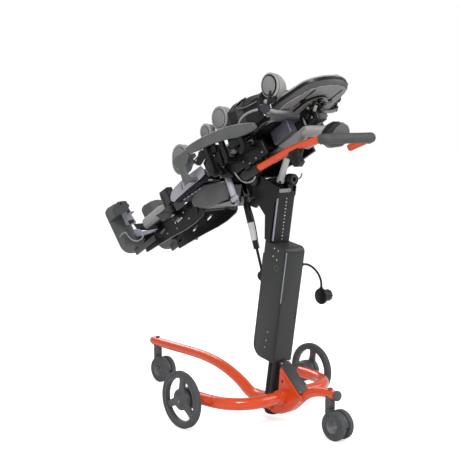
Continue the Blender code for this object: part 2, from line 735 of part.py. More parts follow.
def build_column(black, dark, steel):
    bottom = box(-INNER_W / 2 - GAP - OUTER_WALL, INNER_W / 2 + GAP + OUTER_WALL, OUTER_BACK_Q, OUTER_FRONT_Q,
                 OUTER_FOOT_A, OUTER_FOOT_A + 6)
    outer = hollow_profile(INNER_W / 2 + GAP + OUTER_WALL, OUTER_BACK_Q, OUTER_FRONT_Q, OUTER_WALL,
                           OUTER_FOOT_A, OUTER_TOP_A, 3)
    mid_q = INNER_BACK_Q + INNER_D / 2
    place("column_outer", join(outer, bottom), black, MAST_M)
    screw_profile = [(11, OUTER_FOOT_A + 6 + GAP), (11, OUTER_FOOT_A + 16), (SCREW_R, OUTER_FOOT_A + 18)]
    reach = OUTER_FOOT_A + 22
    while reach < SCREW_TOP_A - 12:
        screw_profile += [(SCREW_R, reach), (SCREW_R - 1.6, reach + SCREW_PITCH / 2)]
        reach += SCREW_PITCH
    screw_profile += [(SCREW_R, SCREW_TOP_A - 2), (SCREW_R - 2, SCREW_TOP_A)]
    place("lift_screw", turned(screw_profile, (0, mid_q, 0), (0, 0, 1), 8), steel, MAST_M)
    inner = hollow_profile(INNER_W / 2, INNER_BACK_Q, INNER_BACK_Q + INNER_D, INNER_WALL,
                           INNER_FOOT_A, INNER_TOP_A, 2)
    slot_q = INNER_BACK_Q + 9
    groove = box(-INNER_W / 2 - 1, -INNER_W / 2 + GROOVE_D, slot_q - GROOVE_W / 2, slot_q + GROOVE_W / 2,
                 INNER_FOOT_A - 5, INNER_TOP_A + 5)
    nut = box(-INNER_W / 2 + 1, INNER_W / 2 - 1, INNER_BACK_Q + 1, INNER_BACK_Q + INNER_D - 1,
              INNER_FOOT_A + 2, INNER_FOOT_A + 20)
    nut_hole = cylinder((0, mid_q, 0), (0, mid_q, 900), SCREW_R + 2 + GAP, 14)
    inner = cut(inner, groove, mirrored(groove.copy()))
    inner = join(inner, cut(nut, nut_hole))
    place("column_inner", inner, dark, MAST_M, mast(0, mid_q, INNER_TOP_A))


def build_housing(black):
    half = HOUSING_W / 2
    shell = prism(housing_outline(0), -half, half, 4, 2)
    hollow = prism(housing_outline(HOUSING_WALL), -half + HOUSING_WALL, half - HOUSING_WALL)
    top = box(-INNER_W / 2 - OUTER_WALL - 2 * GAP, INNER_W / 2 + OUTER_WALL + 2 * GAP,
              OUTER_BACK_Q - GAP, OUTER_FRONT_Q + GAP, HOUSING_TOP_A - 12, HOUSING_TOP_A + 20)
    foot = box(-MAST_W / 2 - GAP, MAST_W / 2 + GAP, -MAST_D / 2 - 1, MAST_D / 2 + GAP,
               HOUSING_BOTTOM_A - 10, HOUSING_BOTTOM_A + 10)
    shell = cut(shell, hollow, top, foot)
    split = HOUSING_BACK_Q + COVER_SPLIT
    front_room = box(-80, 80, split + GAP / 2, HOUSING_FRONT_Q + 40, 0, 900)
    back_room = box(-80, 80, HOUSING_BACK_Q - 40, split - GAP / 2, 0, 900)
    front = boolean(shell.copy(), front_room, "INTERSECT")
    back = boolean(shell, back_room, "INTERSECT")
    exit_at = MAST_M.inverted() @ Vector((half, LEAD_Y, LEAD_Z))
    gland = turned([(6, -2), (8, -1), (8, 3), (6.5, 4), (LEAD_R + 1.5, GLAND_LEN)], exit_at, (1, 0, 0), 12)
    front = join(front, gland)
    notch = box(30, 37, HOUSING_BACK_Q - 1, HOUSING_BACK_Q + 1.4, 372, 402)
    place("housing_shell", front, black, MAST_M)
    place("housing_back", cut(back, notch), black, MAST_M)


# Column head, tilt pivot, lock lever and tilt actuator

def pivot(dy=0.0, dz=0.0):
    return (PIVOT_Y + dy, PIVOT_Z + dz)


def flat(point):
    return (point.y, point.z)


def build_head(black, steel, pale, dark):
    x0 = INNER_W / 2 + GAP
    front_q = INNER_BACK_Q + INNER_D + GAP
    plate_q = HOUSING_FRONT_Q + 1.2 + HEAD_PLATE_T
    cheek = [flat(mast(0, INNER_BACK_Q + 15, HEAD_BOTTOM_A)), flat(mast(0, plate_q, HEAD_BOTTOM_A)),
             flat(mast(0, plate_q + 12, HEAD_BOTTOM_A + HEAD_FLARE * (INNER_TOP_A - HEAD_BOTTOM_A))), pivot(-2, -70)]
    cheek += arc(pivot(), HEAD_CHEEK_R, -25, 105, 6)
    cheek += [pivot(-44, 10), flat(mast(0, INNER_BACK_Q + 2, INNER_TOP_A + 24)),
              flat(mast(0, INNER_BACK_Q + 2, INNER_TOP_A - 6)), flat(mast(0, INNER_BACK_Q + 13, INNER_TOP_A - 30))]
    head = prism(cheek, x0, x0 + CHEEK_T)
    head = join(head, prism(cheek, -x0 - CHEEK_T, -x0))
    front = box(-x0 - 2, x0 + 2, front_q, plate_q, HEAD_BOTTOM_A, INNER_TOP_A - 30)
    drop_a = (MAST_M.inverted() @ Vector((0, ACT_Y, ACT_Z))).z
    drop = box(-DROP_PLATE_W / 2, DROP_PLATE_W / 2, plate_q - HEAD_PLATE_T, plate_q, drop_a - 22,
               HEAD_BOTTOM_A + 10)
    cap = box(-x0 - 2, x0 + 2, INNER_BACK_Q - 1, plate_q, INNER_TOP_A + GAP, INNER_TOP_A + 7, 1)
    for part in (front, drop, cap):
        part.transform(MAST_M)
    head = join(head, front, drop, cap)
    lug_in = ACT_EYE_W / 2 + GAP
    root = (MAST_M.inverted() @ Vector((0, ACT_Y, ACT_Z)))
    low = mast(0, plate_q - 2, root.z - 26)
    high = mast(0, plate_q - 2, root.z + 26)
    lug = [flat(low)] + arc((ACT_Y, ACT_Z), LUG_R, -70, 80, 5) + [flat(high)]
    for sign in (-1, 1):
        near = sorted((sign * lug_in, sign * (lug_in + 5)))
        head = join(head, prism(lug, near[0], near[1]))
    pedestal = box(4, 30, DRUM_Y - 11, DRUM_Y + 11, DRUM_Z - 36, DRUM_Z - 8)
    drum = turned([(DRUM_R - 3, 0), (DRUM_R, 3), (DRUM_R, DRUM_LEN - 4), (DRUM_R - 4, DRUM_LEN), (DRUM_R - 8, DRUM_LEN)],
                  (0, DRUM_Y, DRUM_Z), (1, 0, 0), 14)
    shaft = turned([(7, 0), (7, 27), (11, 28), (11, 32), (8, 34)], (2, DRUM_Y, DRUM_Z), (-1, 0, 0), 12)
    head = join(head, pedestal, drum, shaft)
    pins = [cylinder((-60, PIVOT_Y, PIVOT_Z), (60, PIVOT_Y, PIVOT_Z), AXLE_R + GAP, 16),
            cylinder((-20, ACT_Y, ACT_Z), (20, ACT_Y, ACT_Z), ACT_PIN_R + GAP, 12)]
    place("column_head", cut(head, *pins), black, origin=mast(0, INNER_BACK_Q, INNER_TOP_A))
    end = YOKE_X + YOKE_T + GAP
    axle = turned([(AXLE_R + 5, 0), (AXLE_R + 6, 1.5), (AXLE_R + 6, 4), (AXLE_R, 4.01),
                   (AXLE_R, 2 * end + 3.99), (AXLE_R + 6, 2 * end + 4), (AXLE_R + 6, 2 * end + 6.5),
                   (AXLE_R + 5, 2 * end + 8)], (-end - 4, PIVOT_Y, PIVOT_Z), (1, 0, 0), 16)
    place("tilt_axle", axle, steel, origin=(0, PIVOT_Y, PIVOT_Z))
    hub = cylinder((-24, 0, 0), (-1.5, 0, 0), 13, 14)
    rod = sweep([(-13, 0, 4), (-13, -LEVER_LEN * 0.2, LEVER_LEN * 0.5), (-13, -LEVER_LEN * 0.42, LEVER_LEN)],
                LEVER_R, 10, round_end=True)
    lever = cut(join(hub, rod), cylinder((-40, 0, 0), (20, 0, 0), 7 + GAP, 12))
    lever.transform(Matrix.Translation((0, DRUM_Y, DRUM_Z)))
    place("lock_lever", lever, pale, origin=(-13, DRUM_Y, DRUM_Z))


def build_gas_spring(black, steel):
    """Rod down on the column head, cylinder up on the beam; the top eye keeps play round its pin."""
    low = Vector((0, ACT_Y, ACT_Z))
    high = body(0, ACT_TOP_S, ACT_TOP_H)
    axis = (high - low).normalized()
    half = ACT_EYE_W / 2
    reach = (high - low).length - SPRING_NECK - SPRING_LEN
    rod = cylinder(low + axis * 4, low + axis * SPRING_ROD, ACT_ROD_R, 12)
    eye = cylinder(low - Vector((half, 0, 0)), low + Vector((half, 0, 0)), ACT_EYE_R - 1, 14)
    ferrule = cylinder(low + axis * 6, low + axis * 20, 8, 10)
    pin = cylinder(low - Vector((16, 0, 0)), low + Vector((16, 0, 0)), ACT_PIN_R, 12)
    place("gas_spring_rod", join(rod, ferrule, eye, pin), steel, origin=low)
    bore_r = ACT_ROD_R + GAP
    tube = turned([(bore_r, SPRING_LEN - 16), (bore_r, 0), (ACT_R - 1.5, 0), (ACT_R, 1.5), (ACT_R, SPRING_LEN - 1.5),
                   (ACT_R - 1.5, SPRING_LEN)], low + axis * reach, axis, 14)
    eye_bore = ACT_PIN_R + ACT_PIN_PLAY
    neck = cylinder(high - axis * (SPRING_NECK + 5), high - axis * (eye_bore + 1.5), 7, 12)
    eye = turned([(eye_bore, 0), (ACT_EYE_R, 0), (ACT_EYE_R, ACT_EYE_W), (eye_bore, ACT_EYE_W)],
                 high - Vector((half, 0, 0)), (1, 0, 0), 14, ring=True)
    place("gas_spring_cylinder", join(tube, neck, eye), black, origin=high)


# Body support; these pieces are built in the tilted body frame: X, s, h

def slab(outline, low, high, bevel=0.0, segments=1):
    """Extrude an outline of (x, s) pairs along h."""
    bm = loft([[Vector((x, y, z)) for x, y in outline] for z in (low, high)])
    if bevel:
        rim = [e for e in bm.edges if abs(e.verts[0].co.z - e.verts[1].co.z) < 1e-6]
        bmesh.ops.bevel(bm, geom=rim, offset=bevel, segments=segments, affect="EDGES", profile=0.5)
    return bm


def bar_line(t):
    """A point along the push bar's straight arm, in the world frame, t in mm up the slope."""
    slope = math.radians(BAR_SLOPE)
    return Vector((-BAR_X, BAR_FOOT_Y - t * math.cos(slope), BAR_FOOT_Z + t * math.sin(slope)))


def thigh_side():
    """The thigh board's side plate in (s, h), round at its foot end and slotted for the rail's bracket."""
    low, high = THIGH_H - 6, THIGH_SIDE_TOP_H
    rise = high - low
    return ([(THIGH_SIDE_HEAD_S, low), (THIGH_SIDE_HEAD_S, high - 8), (THIGH_SIDE_HEAD_S - 10, high)]
            + arc((THIGH_SIDE_FOOT_S + rise * 0.55, low + rise * 0.45), rise * 0.55, 90, 200, 5)
            + [(THIGH_SIDE_FOOT_S + rise * 0.5, low)])


def build_spine(black):
    beam = box(-BEAM_W / 2, BEAM_W / 2, BEAM_FOOT_S, BEAM_HEAD_S, BEAM_H, BEAM_H + BEAM_D, 4)
    top = box(-YOKE_X - YOKE_T, YOKE_X + YOKE_T, -YOKE_HALF_S, YOKE_HALF_S, BEAM_H - 5, BEAM_H + 1)
    spine = join(beam, top)
    yoke = arc((0, 0), YOKE_R, 190, 350, 7) + [(52, 6), (YOKE_HALF_S, BEAM_H - 10), (YOKE_HALF_S, BEAM_H),
                                                (-YOKE_HALF_S, BEAM_H), (-YOKE_HALF_S, BEAM_H - 10), (-58, 26)]
    lug_in = ACT_EYE_W / 2 + GAP
    lug = arc((ACT_TOP_S, ACT_TOP_H), 12, 180, 360, 6) + [(ACT_TOP_S + 16, BEAM_H + 1), (ACT_TOP_S - 16, BEAM_H + 1)]
    for sign in (-1, 1):
        low, high = sorted((sign * YOKE_X, sign * (YOKE_X + YOKE_T)))
        near, far = sorted((sign * lug_in, sign * (lug_in + 5)))
        spine = join(spine, prism(yoke, low, high), prism(lug, near, far))
        spine = join(spine, cylinder((sign * (lug_in + 4), ACT_TOP_S, ACT_TOP_H),
                                     (sign * (lug_in + 9), ACT_TOP_S, ACT_TOP_H), ACT_PIN_R + 2, 10))
    knee_lug = box(-BEAM_W / 2 + 4, BEAM_W / 2 - 4, KNEE_S - 13, KNEE_S + 13, KNEE_H - 4, BEAM_H + 1)
    reach = LEG_X + LEG_T + GAP
    knee = turned([(14, 0), (14, 3.5), (KNEE_R, 3.6), (KNEE_R, 2 * reach + 3.4), (14, 2 * reach + 3.5),
                   (14, 2 * reach + 7)], (-reach - 3.5, KNEE_S, KNEE_H), (1, 0, 0), 12)
    spine = join(spine, knee_lug, knee)
    for s in RAIL_POSTS:
        spine = join(spine, box(-RAIL_X - 10, RAIL_X + 10, s - 9, s + 9, BEAM_H + 12, BEAM_H + 28))
    riser = box(-BEAM_W / 2 + 3, BEAM_W / 2 - 3, THIGH_BAR_S - 12, THIGH_S + THIGH_LEN - 20, BEAM_H + BEAM_D - 4,
                THIGH_H - 5)
    board = slab(thigh_outline(14), THIGH_H - 6, THIGH_H - GAP)
    trunk = slab(rounded_rect(-TRUNK_HALF + 8, TRUNK_HALF - 8, TRUNK_S + 8, TRUNK_S + TRUNK_LEN - 8, 30, 2),
                 TRUNK_H - 6, TRUNK_H - GAP)
    stand = box(-BEAM_W / 2 + 4, BEAM_W / 2 - 4, STAND_FOOT_S, STAND_HEAD_S, BEAM_H + BEAM_D - 4, TRUNK_H - 5)
    plate_half = SHELL_SLOT_X - SHELL_SLOT_W - 4
    slide_plate = slab([(-plate_half, SHELL_SLOT_S - 16), (plate_half, SHELL_SLOT_S - 16)]
                       + [(plate_half * math.cos(t), SHELL_SLOT_S + 30 + 52 * math.sin(t))
                          for t in (math.pi * i / 8 for i in range(9))], SHELL_H - 7, SHELL_H - GAP)
    ears = slab(rounded_rect(-SHELL_SLOT_X - 9, SHELL_SLOT_X + 9, SLIDE_PIN_S - 9, SLIDE_PIN_S + 9, 6, 2),
                SHELL_H - 7, SHELL_H - GAP)
    web = prism([(BEAM_HEAD_S - 24, BEAM_H + BEAM_D - 3), (BEAM_HEAD_S - 2, BEAM_H + BEAM_D - 3),
                 (SHELL_SLOT_S + 24, SHELL_H - 5), (SHELL_SLOT_S - 14, SHELL_H - 5)], -22, 22)
    spine = join(spine, riser, board, trunk, stand, slide_plate, ears, web)
    for sign in (-1, 1):
        spine = join(spine, cylinder((sign * SHELL_SLOT_X, SLIDE_PIN_S, SHELL_H - 4),
                                     (sign * SHELL_SLOT_X, SLIDE_PIN_S, SHELL_H + SHELL_WALL - 1),
                                     SHELL_SLOT_W / 2 - GAP, 10))
        low, high = sorted((sign * (THIGH_HALF + 1), sign * (THIGH_HALF + 1 + THIGH_SIDE_T)))
        side = prism(thigh_side(), low, high)
        near, far = sorted((sign * (THIGH_HALF - 30), sign * (THIGH_HALF + 2)))
        ledge = box(near, far, THIGH_SIDE_FOOT_S + 30, THIGH_SIDE_HEAD_S - 20, THIGH_H - 6, THIGH_H - GAP)
        spine = join(spine, side, ledge)
    arm = box(-BAR_X - 10, -BEAM_W / 2 + 2, SLEEVE_S - 14, SLEEVE_S + 14, BEAM_H - 12, BEAM_H + 2)
    drop = box(-BAR_X - 10, -BAR_X + 10, SLEEVE_S - 14, SLEEVE_S + 14, SLEEVE_H, BEAM_H - 2)
    sleeve = cylinder(in_body(bar_line(GAP * 2)), in_body(bar_line(-SLEEVE_LEN)), SLEEVE_R, 12)
    bore = cylinder(in_body(bar_line(20)), in_body(bar_line(-SLEEVE_LEN + SLEEVE_FLOOR)), BAR_R + 2 * GAP, 12)
    spine = cut(join(spine, arm, drop, sleeve), bore)
    axle = cylinder((-70, 0, 0), (70, 0, 0), AXLE_R + 2 * GAP, 16)
    place("spine_beam", cut(spine, axle), black, BODY_M, (0, PIVOT_Y, PIVOT_Z))


def build_covers(pale, blue):
    wedge = [(150, BEAM_H - GAP), (BEAM_HEAD_S + 10, BEAM_H - GAP), (BEAM_HEAD_S + 14, -8), (BEAM_HEAD_S - 20, -10)]
    fin = prism(wedge, -COVER_HALF, COVER_HALF, 3)
    block = box(-COVER_HALF - 8, COVER_HALF + 8, BEAM_HEAD_S + GAP, COVER_END, -10, 30, 9, 2)
    place("rear_cover", join(fin, block), pale, BODY_M)
    outer = box(-CONTROL_HALF, CONTROL_HALF, CONTROL_S, CONTROL_S + CONTROL_LEN, CONTROL_FOOT_H,
                TRUNK_H - 6 - GAP, 3)
    beam_room = box(-BEAM_W / 2 - GAP, BEAM_W / 2 + GAP, 0, 400, 0, BEAM_H + BEAM_D + GAP)
    cover_room = box(-COVER_HALF - GAP, COVER_HALF + GAP, 0, 400, 0, BEAM_H + GAP)
    place("control_box", cut(outer, beam_room, cover_room), blue, BODY_M)


def rail_h(s):
    """Height of the arm band's lower edge."""
    for (s0, h0), (s1, h1) in zip(RAIL_LOWER, RAIL_LOWER[1:]):
        if s <= s1:
            break
    return h0 + (h1 - h0) * (s - s0) / (s1 - s0)


def build_rails(grey, fabric):
    def make():
        outer = -RAIL_X - RAIL_W / 2
        band = outer + RAIL_BAND_T
        rail = prism(list(RAIL_LOWER) + list(reversed(RAIL_UPPER)), outer, band, 3)
        rail = join(rail, prism(list(RAIL_BRACKET), outer + 3, band - 1, 2))
        rail = join(rail, box(outer + 3, -THIGH_HALF - 1 - THIGH_SIDE_T - GAP, -205, -187, THIGH_H - 1, THIGH_H + 11))
        for s in RAIL_POSTS:
            post = box(-RAIL_X - 7, -RAIL_X + 7, s - 9, s + 9, BEAM_H + 28 + GAP, rail_h(s) + 12)
            rail = join(rail, post)
        face = -RAIL_X + RAIL_W / 2 + 2
        for s, h, r in ((CHEST_PAD_S, CHEST_PAD_H, CHEST_PAD_R - 8), (WAIST_PAD_S, WAIST_PAD_H, WAIST_PAD_R - 7)):
            disc = cylinder((face - 5, s, h), (face, s, h), r, 16)
            root = rail_h(s) + 16
            tab = box(face - 5, face, s - 12, s + 12, root - 8, h - r + 8)
            rail = join(rail, disc, tab, box(band - 4, face, s - 12, s + 12, root - 8, root + 8))
        hip_face = -HIP_PLATE_X
        boss = cylinder((outer + 6, HIP_BOSS_S, HIP_BOSS_H), (hip_face - 2, HIP_BOSS_S, HIP_BOSS_H), HIP_BOSS_R, 12)
        return join(rail, boss, prism(hip_outline(0.62), hip_face - HIP_PLATE_T, hip_face))
    pair("side_rail", make, grey, BODY_M)

    def pads(s, h, radius, depth):
        def make():
            pad = cushion(circle_pairs(radius, 16), 0, depth, 3)
            face = -RAIL_X + RAIL_W / 2 + 2 + GAP
            pad.transform(Matrix.Translation((face, s, h)) @ Matrix.Rotation(math.pi / 2, 4, "Y"))
            return pad
        return make
    pair("chest_pad", pads(CHEST_PAD_S, CHEST_PAD_H, CHEST_PAD_R, CHEST_PAD_T), fabric, BODY_M)
    pair("waist_pad", pads(WAIST_PAD_S, WAIST_PAD_H, WAIST_PAD_R, CHEST_PAD_T - 4), fabric, BODY_M)


def circle_pairs(radius, sides):
    return [(p.x, p.y) for p in circle(radius, sides)]


def build_trunk(fabric, strap):
    outline = rounded_rect(-TRUNK_HALF, TRUNK_HALF, TRUNK_S, TRUNK_S + TRUNK_LEN, 34, 3)
    pad = cushion(outline, TRUNK_H, TRUNK_H + TRUNK_T)
    for sign in (-1, 1):
        low, high = sorted((sign * (TRUNK_HALF - BOLSTER_W), sign * (TRUNK_HALF - 2)))
        pad = join(pad, prism(list(BOLSTER), low, high, 8, 2))
    place("trunk_cushion", pad, fabric, BODY_M)
    rings = []
    half = RAIL_X + RAIL_W / 2 - RAIL_BAND_T - GAP
    steps = 16
    for i in range(steps + 1):
        t = math.pi * i / steps
        ring = []
        for s, high, inset in ((BELT_S, BELT_TOP, 0), (BELT_S + BELT_W, BELT_TOP - BELT_FALL, 0),
                               (BELT_S + BELT_W, BELT_TOP - BELT_FALL, BELT_T), (BELT_S, BELT_TOP, BELT_T)):
            foot = rail_h(s) + 16
            ring.append(Vector((-(half - inset) * math.cos(t), s,
                                foot + (high - foot - inset) * math.sin(t) ** 0.8)))
        rings.append(ring)
    place("chest_belt", loft(rings), strap, BODY_M)


def shell_outline(inset, steps=8):
    foot = SHELL_FOOT_HALF - inset
    head = SHELL_HEAD_HALF - inset
    end = SHELL_END_S - inset
    start = SHELL_S + inset
    knee = end - head * 0.62
    round_head = [(head * math.cos(math.pi * i / steps), knee + (end - knee) * math.sin(math.pi * i / steps))
                  for i in range(steps + 1)]
    return ([(-foot + 16, start), (foot - 16, start), (foot, start + 16)] + round_head + [(-foot, start + 16)])


def build_back(dark, black, fabric):
    shell = loft([[Vector((x, s, h)) for x, s in shell_outline(inset)] for inset, h in
                  ((SHELL_DISH, SHELL_H), (3, SHELL_H + 9), (0, SHELL_H + 17), (0, SHELL_H + SHELL_RIM))])
    room = loft([[Vector((x, s, h)) for x, s in shell_outline(SHELL_WALL + inset)] for inset, h in
                 ((SHELL_DISH, SHELL_H + SHELL_WALL), (0, SHELL_H + 17), (0, SHELL_H + SHELL_RIM + 10))])
    shell = cut(shell, room)
    for sign in (-1, 1):
        outline = capsule_outline((sign * SHELL_SLOT_X, SHELL_SLOT_S),
                                  (sign * SHELL_SLOT_X, SHELL_SLOT_S + SHELL_SLOT_LEN), SHELL_SLOT_W / 2, 4)
        shell = cut(shell, slab(outline, SHELL_H - 5, SHELL_H + 20))
    at = body(0, SHELL_S, SHELL_H)
    place("back_shell", shell, dark, BODY_M, at)
    pad = cushion(shell_outline(SHELL_WALL + SHELL_DISH + GAP + 1, 8), SHELL_H + SHELL_WALL + GAP,
                  SHELL_H + SHELL_WALL + GAP + BACK_CUSHION_T)
    place("back_cushion", pad, fabric, BODY_M, at)

    def arm():
        low = SHELL_H - GAP - 6
        x = -HEAD_PLATE_X - 7
        route = [(-SHELL_SLOT_X - 14, HEAD_ARM_S, low), (x + 40, HEAD_ARM_S, low), (x + 12, HEAD_ARM_S, low + 4),
                 (x, HEAD_ARM_S, low + 20), (x, HEAD_PAD_S, HEAD_PAD_H - 20)]
        rod = sweep(smooth_path(route, 2), 6, 8)
        disc = cylinder((-HEAD_PLATE_X - 7, HEAD_PAD_S, HEAD_PAD_H), (-HEAD_PLATE_X, HEAD_PAD_S, HEAD_PAD_H),
                        HEAD_PAD_R - 6, 16)
        return join(rod, disc)
    pair("head_arm", arm, black, BODY_M, body(-HEAD_PLATE_X, HEAD_PAD_S, SHELL_H))

    def pad_of():
        pad = cushion(circle_pairs(HEAD_PAD_R, 18), 0, HEAD_PAD_T)
        for v in pad.verts:
            v.co.z *= 1 - HEAD_PAD_TAPER * (HEAD_PAD_R - v.co.x) / (2 * HEAD_PAD_R)
        pad.transform(Matrix.Translation((-HEAD_PLATE_X + GAP, HEAD_PAD_S, HEAD_PAD_H))
                      @ Matrix.Rotation(math.pi / 2, 4, "Y"))
        return pad
    pair("head_pad", pad_of, fabric, BODY_M, body(-HEAD_PLATE_X, HEAD_PAD_S, SHELL_H))


def thigh_outline(inset):
    """The two-lobed hip and thigh cushion: square at the hips, notched between the thighs."""
    half = THIGH_HALF - inset
    foot = THIGH_S + inset
    head = THIGH_S + THIGH_LEN - inset
    notch = THIGH_NOTCH_W / 2 + inset
    end = THIGH_S + THIGH_NOTCH_LEN + inset
    return ([(half, foot + 18), (half, head - 18), (half - 18, head), (-half + 18, head), (-half, head - 18),
             (-half, foot + 18)] + [(x, foot) for x in (-half + 18, -notch - 10)] + [(-notch, foot + 10)]
            + [(-notch, end - 12), (-notch + 12, end), (notch - 12, end), (notch, end - 12)]
            + [(notch, foot + 10), (notch + 10, foot), (half - 18, foot)])


def build_seat(grey, fabric):
    side = [(SEAT_FOOT_S, 44), (-236, 4), (-112, -18), (SEAT_HEAD_S, 20), (SEAT_HEAD_S - 6, 44),
            (-200, 88), (-262, 92), (SEAT_FOOT_S, 66)]
    shell = prism(side, -SEAT_HALF, SEAT_HALF, 7)
    wall = SEAT_WALL
    inner = [(SEAT_FOOT_S - 40, 44), (SEAT_FOOT_S + wall, 44 + wall), (-236 + 1, 4 + wall), (-112, -18 + wall),
             (SEAT_HEAD_S - wall, 22), (SEAT_HEAD_S + 60, 22), (SEAT_HEAD_S + 60, 200), (SEAT_FOOT_S - 40, 200)]
    room = prism(inner, -SEAT_HALF + wall, SEAT_HALF - wall)
    notch = box(-34, 34, ACT_TOP_S - 34, SEAT_HEAD_S + 20, -60, 60)
    swing_room = box(-ACT_R - 3, ACT_R + 3, ACT_TOP_S - SWING_ROOM, ACT_TOP_S - 30, -60, 30)
    knee_room = box(-SEAT_HALF + wall + GAP, SEAT_HALF - wall - GAP, SEAT_FOOT_S - 40, KNEE_S + 21, -60, 110)
    leg_room = box(-LEG_X - LEG_T - 1, -LEG_X + 1, KNEE_S - 60, KNEE_S + LEG_HEAD_R + 2, -60, 110)
    shell = cut(shell, room, notch, swing_room, knee_room, leg_room, mirrored(leg_room.copy()))
    keep_clear = box(-60, 60, KNEE_S - 20, KNEE_S + 21, -60, 60)
    for sign in (-1, 1):
        x0, x1 = sorted((sign * 16, sign * 22))
        rib = prism([(-292, 36), (-238, 6), (-165, -8), (-165, BEAM_H - GAP), (-292, BEAM_H - GAP)], x0, x1)
        shell = join(shell, cut(rib, keep_clear.copy()))
    keep_clear.free()
    place("seat_shell", shell, grey, BODY_M)

    def hip():
        pad = cushion([(-(h - HIP_PAD_H), s - HIP_PAD_S) for s, h in hip_outline(1.0)], 0, HIP_PAD_T, 3)
        pad.transform(Matrix.Translation((-HIP_PLATE_X + GAP, HIP_PAD_S, HIP_PAD_H))
                      @ Matrix.Rotation(math.pi / 2, 4, "Y"))
        return pad
    pair("hip_pad", hip, fabric, BODY_M)
    place("thigh_cushion", cushion(thigh_outline(0), THIGH_H, THIGH_H + THIGH_T, 3), fabric, BODY_M)


def hip_outline(part):
    """The oval hip pad's outline in (s, h), or the same shape drawn in for its plate."""
    turn = math.radians(HIP_PAD_TURN)
    ds = math.sin(turn) * HIP_PAD_LONG * part
    dh = math.cos(turn) * HIP_PAD_LONG * part
    return capsule_outline((HIP_PAD_S - ds, HIP_PAD_H - dh), (HIP_PAD_S + ds, HIP_PAD_H + dh), HIP_PAD_R * part, 7)


def build_legs(black, fabric, strap, dark):
    hinge = body(-LEG_X, KNEE_S, KNEE_H)
    outer = -LEG_X - LEG_T

    def plate():
        outline = [(LEG_FOOT_S, 20), (-600, 15), (-482, 4), (-400, -6), (-340, -9), (-280, -4)]
        outline += arc((KNEE_S, KNEE_H), LEG_HEAD_R, -35, 62, 5) + [(-330, 76), (-480, CALF_H - 2), (LEG_FOOT_S, CALF_H - 6)]
        leg = prism(outline, outer, -LEG_X)
        for s in LEG_SLOTS:
            slot = prism(capsule_outline((s - LEG_SLOT_LEN / 2, 44), (s + LEG_SLOT_LEN / 2, 48), LEG_SLOT_W / 2, 3),
                         outer - 5, -LEG_X + 5)
            leg = cut(leg, slot)
        flange = box(outer - 22, -LEG_X + 26, CALF_S + 20, CALF_S + CALF_LEN - 20, CALF_H - 7, CALF_H - GAP)
        post = box(outer - 10, outer + 1, KNEE_BLOCK_S - 14, KNEE_BLOCK_S + 14, 56, KNEE_BLOCK_H - 40)
        block = box(outer - 16, outer + 14, KNEE_BLOCK_S - 20, KNEE_BLOCK_S + 20, KNEE_BLOCK_H - 54, KNEE_BLOCK_H, 4)
        bore = cylinder((-200, KNEE_S, KNEE_H), (0, KNEE_S, KNEE_H), KNEE_R + GAP, 12)
        return cut(join(leg, flange, post, block), bore)
    pair("leg_plate", plate, black, BODY_M, hinge)

    def calf():
        x = -LEG_X - LEG_T / 2
        outline = rounded_rect(x - CALF_W / 2, x + CALF_W / 2, CALF_S, CALF_S + CALF_LEN, 30, 3)
        return cushion(outline, CALF_H, CALF_H + CALF_T, 3)
    pair("calf_pad", calf, fabric, BODY_M, hinge)
    slant = math.radians(FOOT_SLANT)
    sole_m = Matrix.Translation((-FOOT_X, FOOT_S, FOOT_H)) @ Matrix.Rotation(slant, 4, "X")
    half = FOOT_W / 2

    def foot():
        sole = loft([[Vector((x, y, z)) for x, z in rounded_rect(-half, half, 0, FOOT_LEN, 36, 4)]
                     for y in (-FOOT_T, 0)])
        cup = loft([[Vector((x, y, z)) for x, z in rounded_rect(-half, half, 0, 96, 34, 4)] for y in (-2, HEEL_DEPTH)])
        well = loft([[Vector((x, y, z)) for x, z in rounded_rect(-half + 4, half - 4, 4, 140, 30, 4)]
                     for y in (0, HEEL_DEPTH + 10)])
        slope = prism([(HEEL_DEPTH + 30, 40), (HEEL_DEPTH + 30, 160), (-0.5, 160), (-0.5, 96), (28, 66)], -90, 90)
        band_out = loft([[Vector((x, y, z)) for x, y in toe_arch(half - 1, TOE_RISE)]
                         for z in (FOOT_LEN - 74, FOOT_LEN - 22)])
        band_in = loft([[Vector((x, y, z)) for x, y in toe_arch(half - 7, TOE_RISE - 6)]
                        for z in (FOOT_LEN - 90, FOOT_LEN)])
        shoe = join(sole, cut(cup, well, slope), cut(band_out, band_in))
        shoe.transform(sole_m)
        x = outer - GAP
        arm = box(x - 8, x, FOOT_S + 8, FOOT_S + FOOT_ARM_LEN, FOOT_H - 18, FOOT_H + 3)
        return join(shoe, arm)
    pair("foot_plate", foot, dark, BODY_M, body(-FOOT_X, FOOT_S, FOOT_H))

    def strap_of():
        out = toe_arch(half + 5, ANKLE_RISE)
        inn = toe_arch(half + 0.4, ANKLE_RISE - 5)
        band = cut(loft([[Vector((x, y, z)) for x, y in out] for z in (104, 146)]),
                   loft([[Vector((x, y, z)) for x, y in inn] for z in (90, 160)]))
        sole_room = box(-60, 60, -FOOT_T - GAP, GAP, 80, 170)
        band = cut(band, sole_room)
        band.transform(sole_m)
        return band
    pair("foot_strap", strap_of, strap, BODY_M, body(-FOOT_X, FOOT_S, FOOT_H))


def toe_arch(half, rise, steps=8):
    return ([(-half, -6), (half, -6)]
            + [(half * math.cos(math.pi * i / steps), 8 + (rise - 8) * math.sin(math.pi * i / steps) ** 0.7)
               for i in range(steps + 1)])


# Push bar

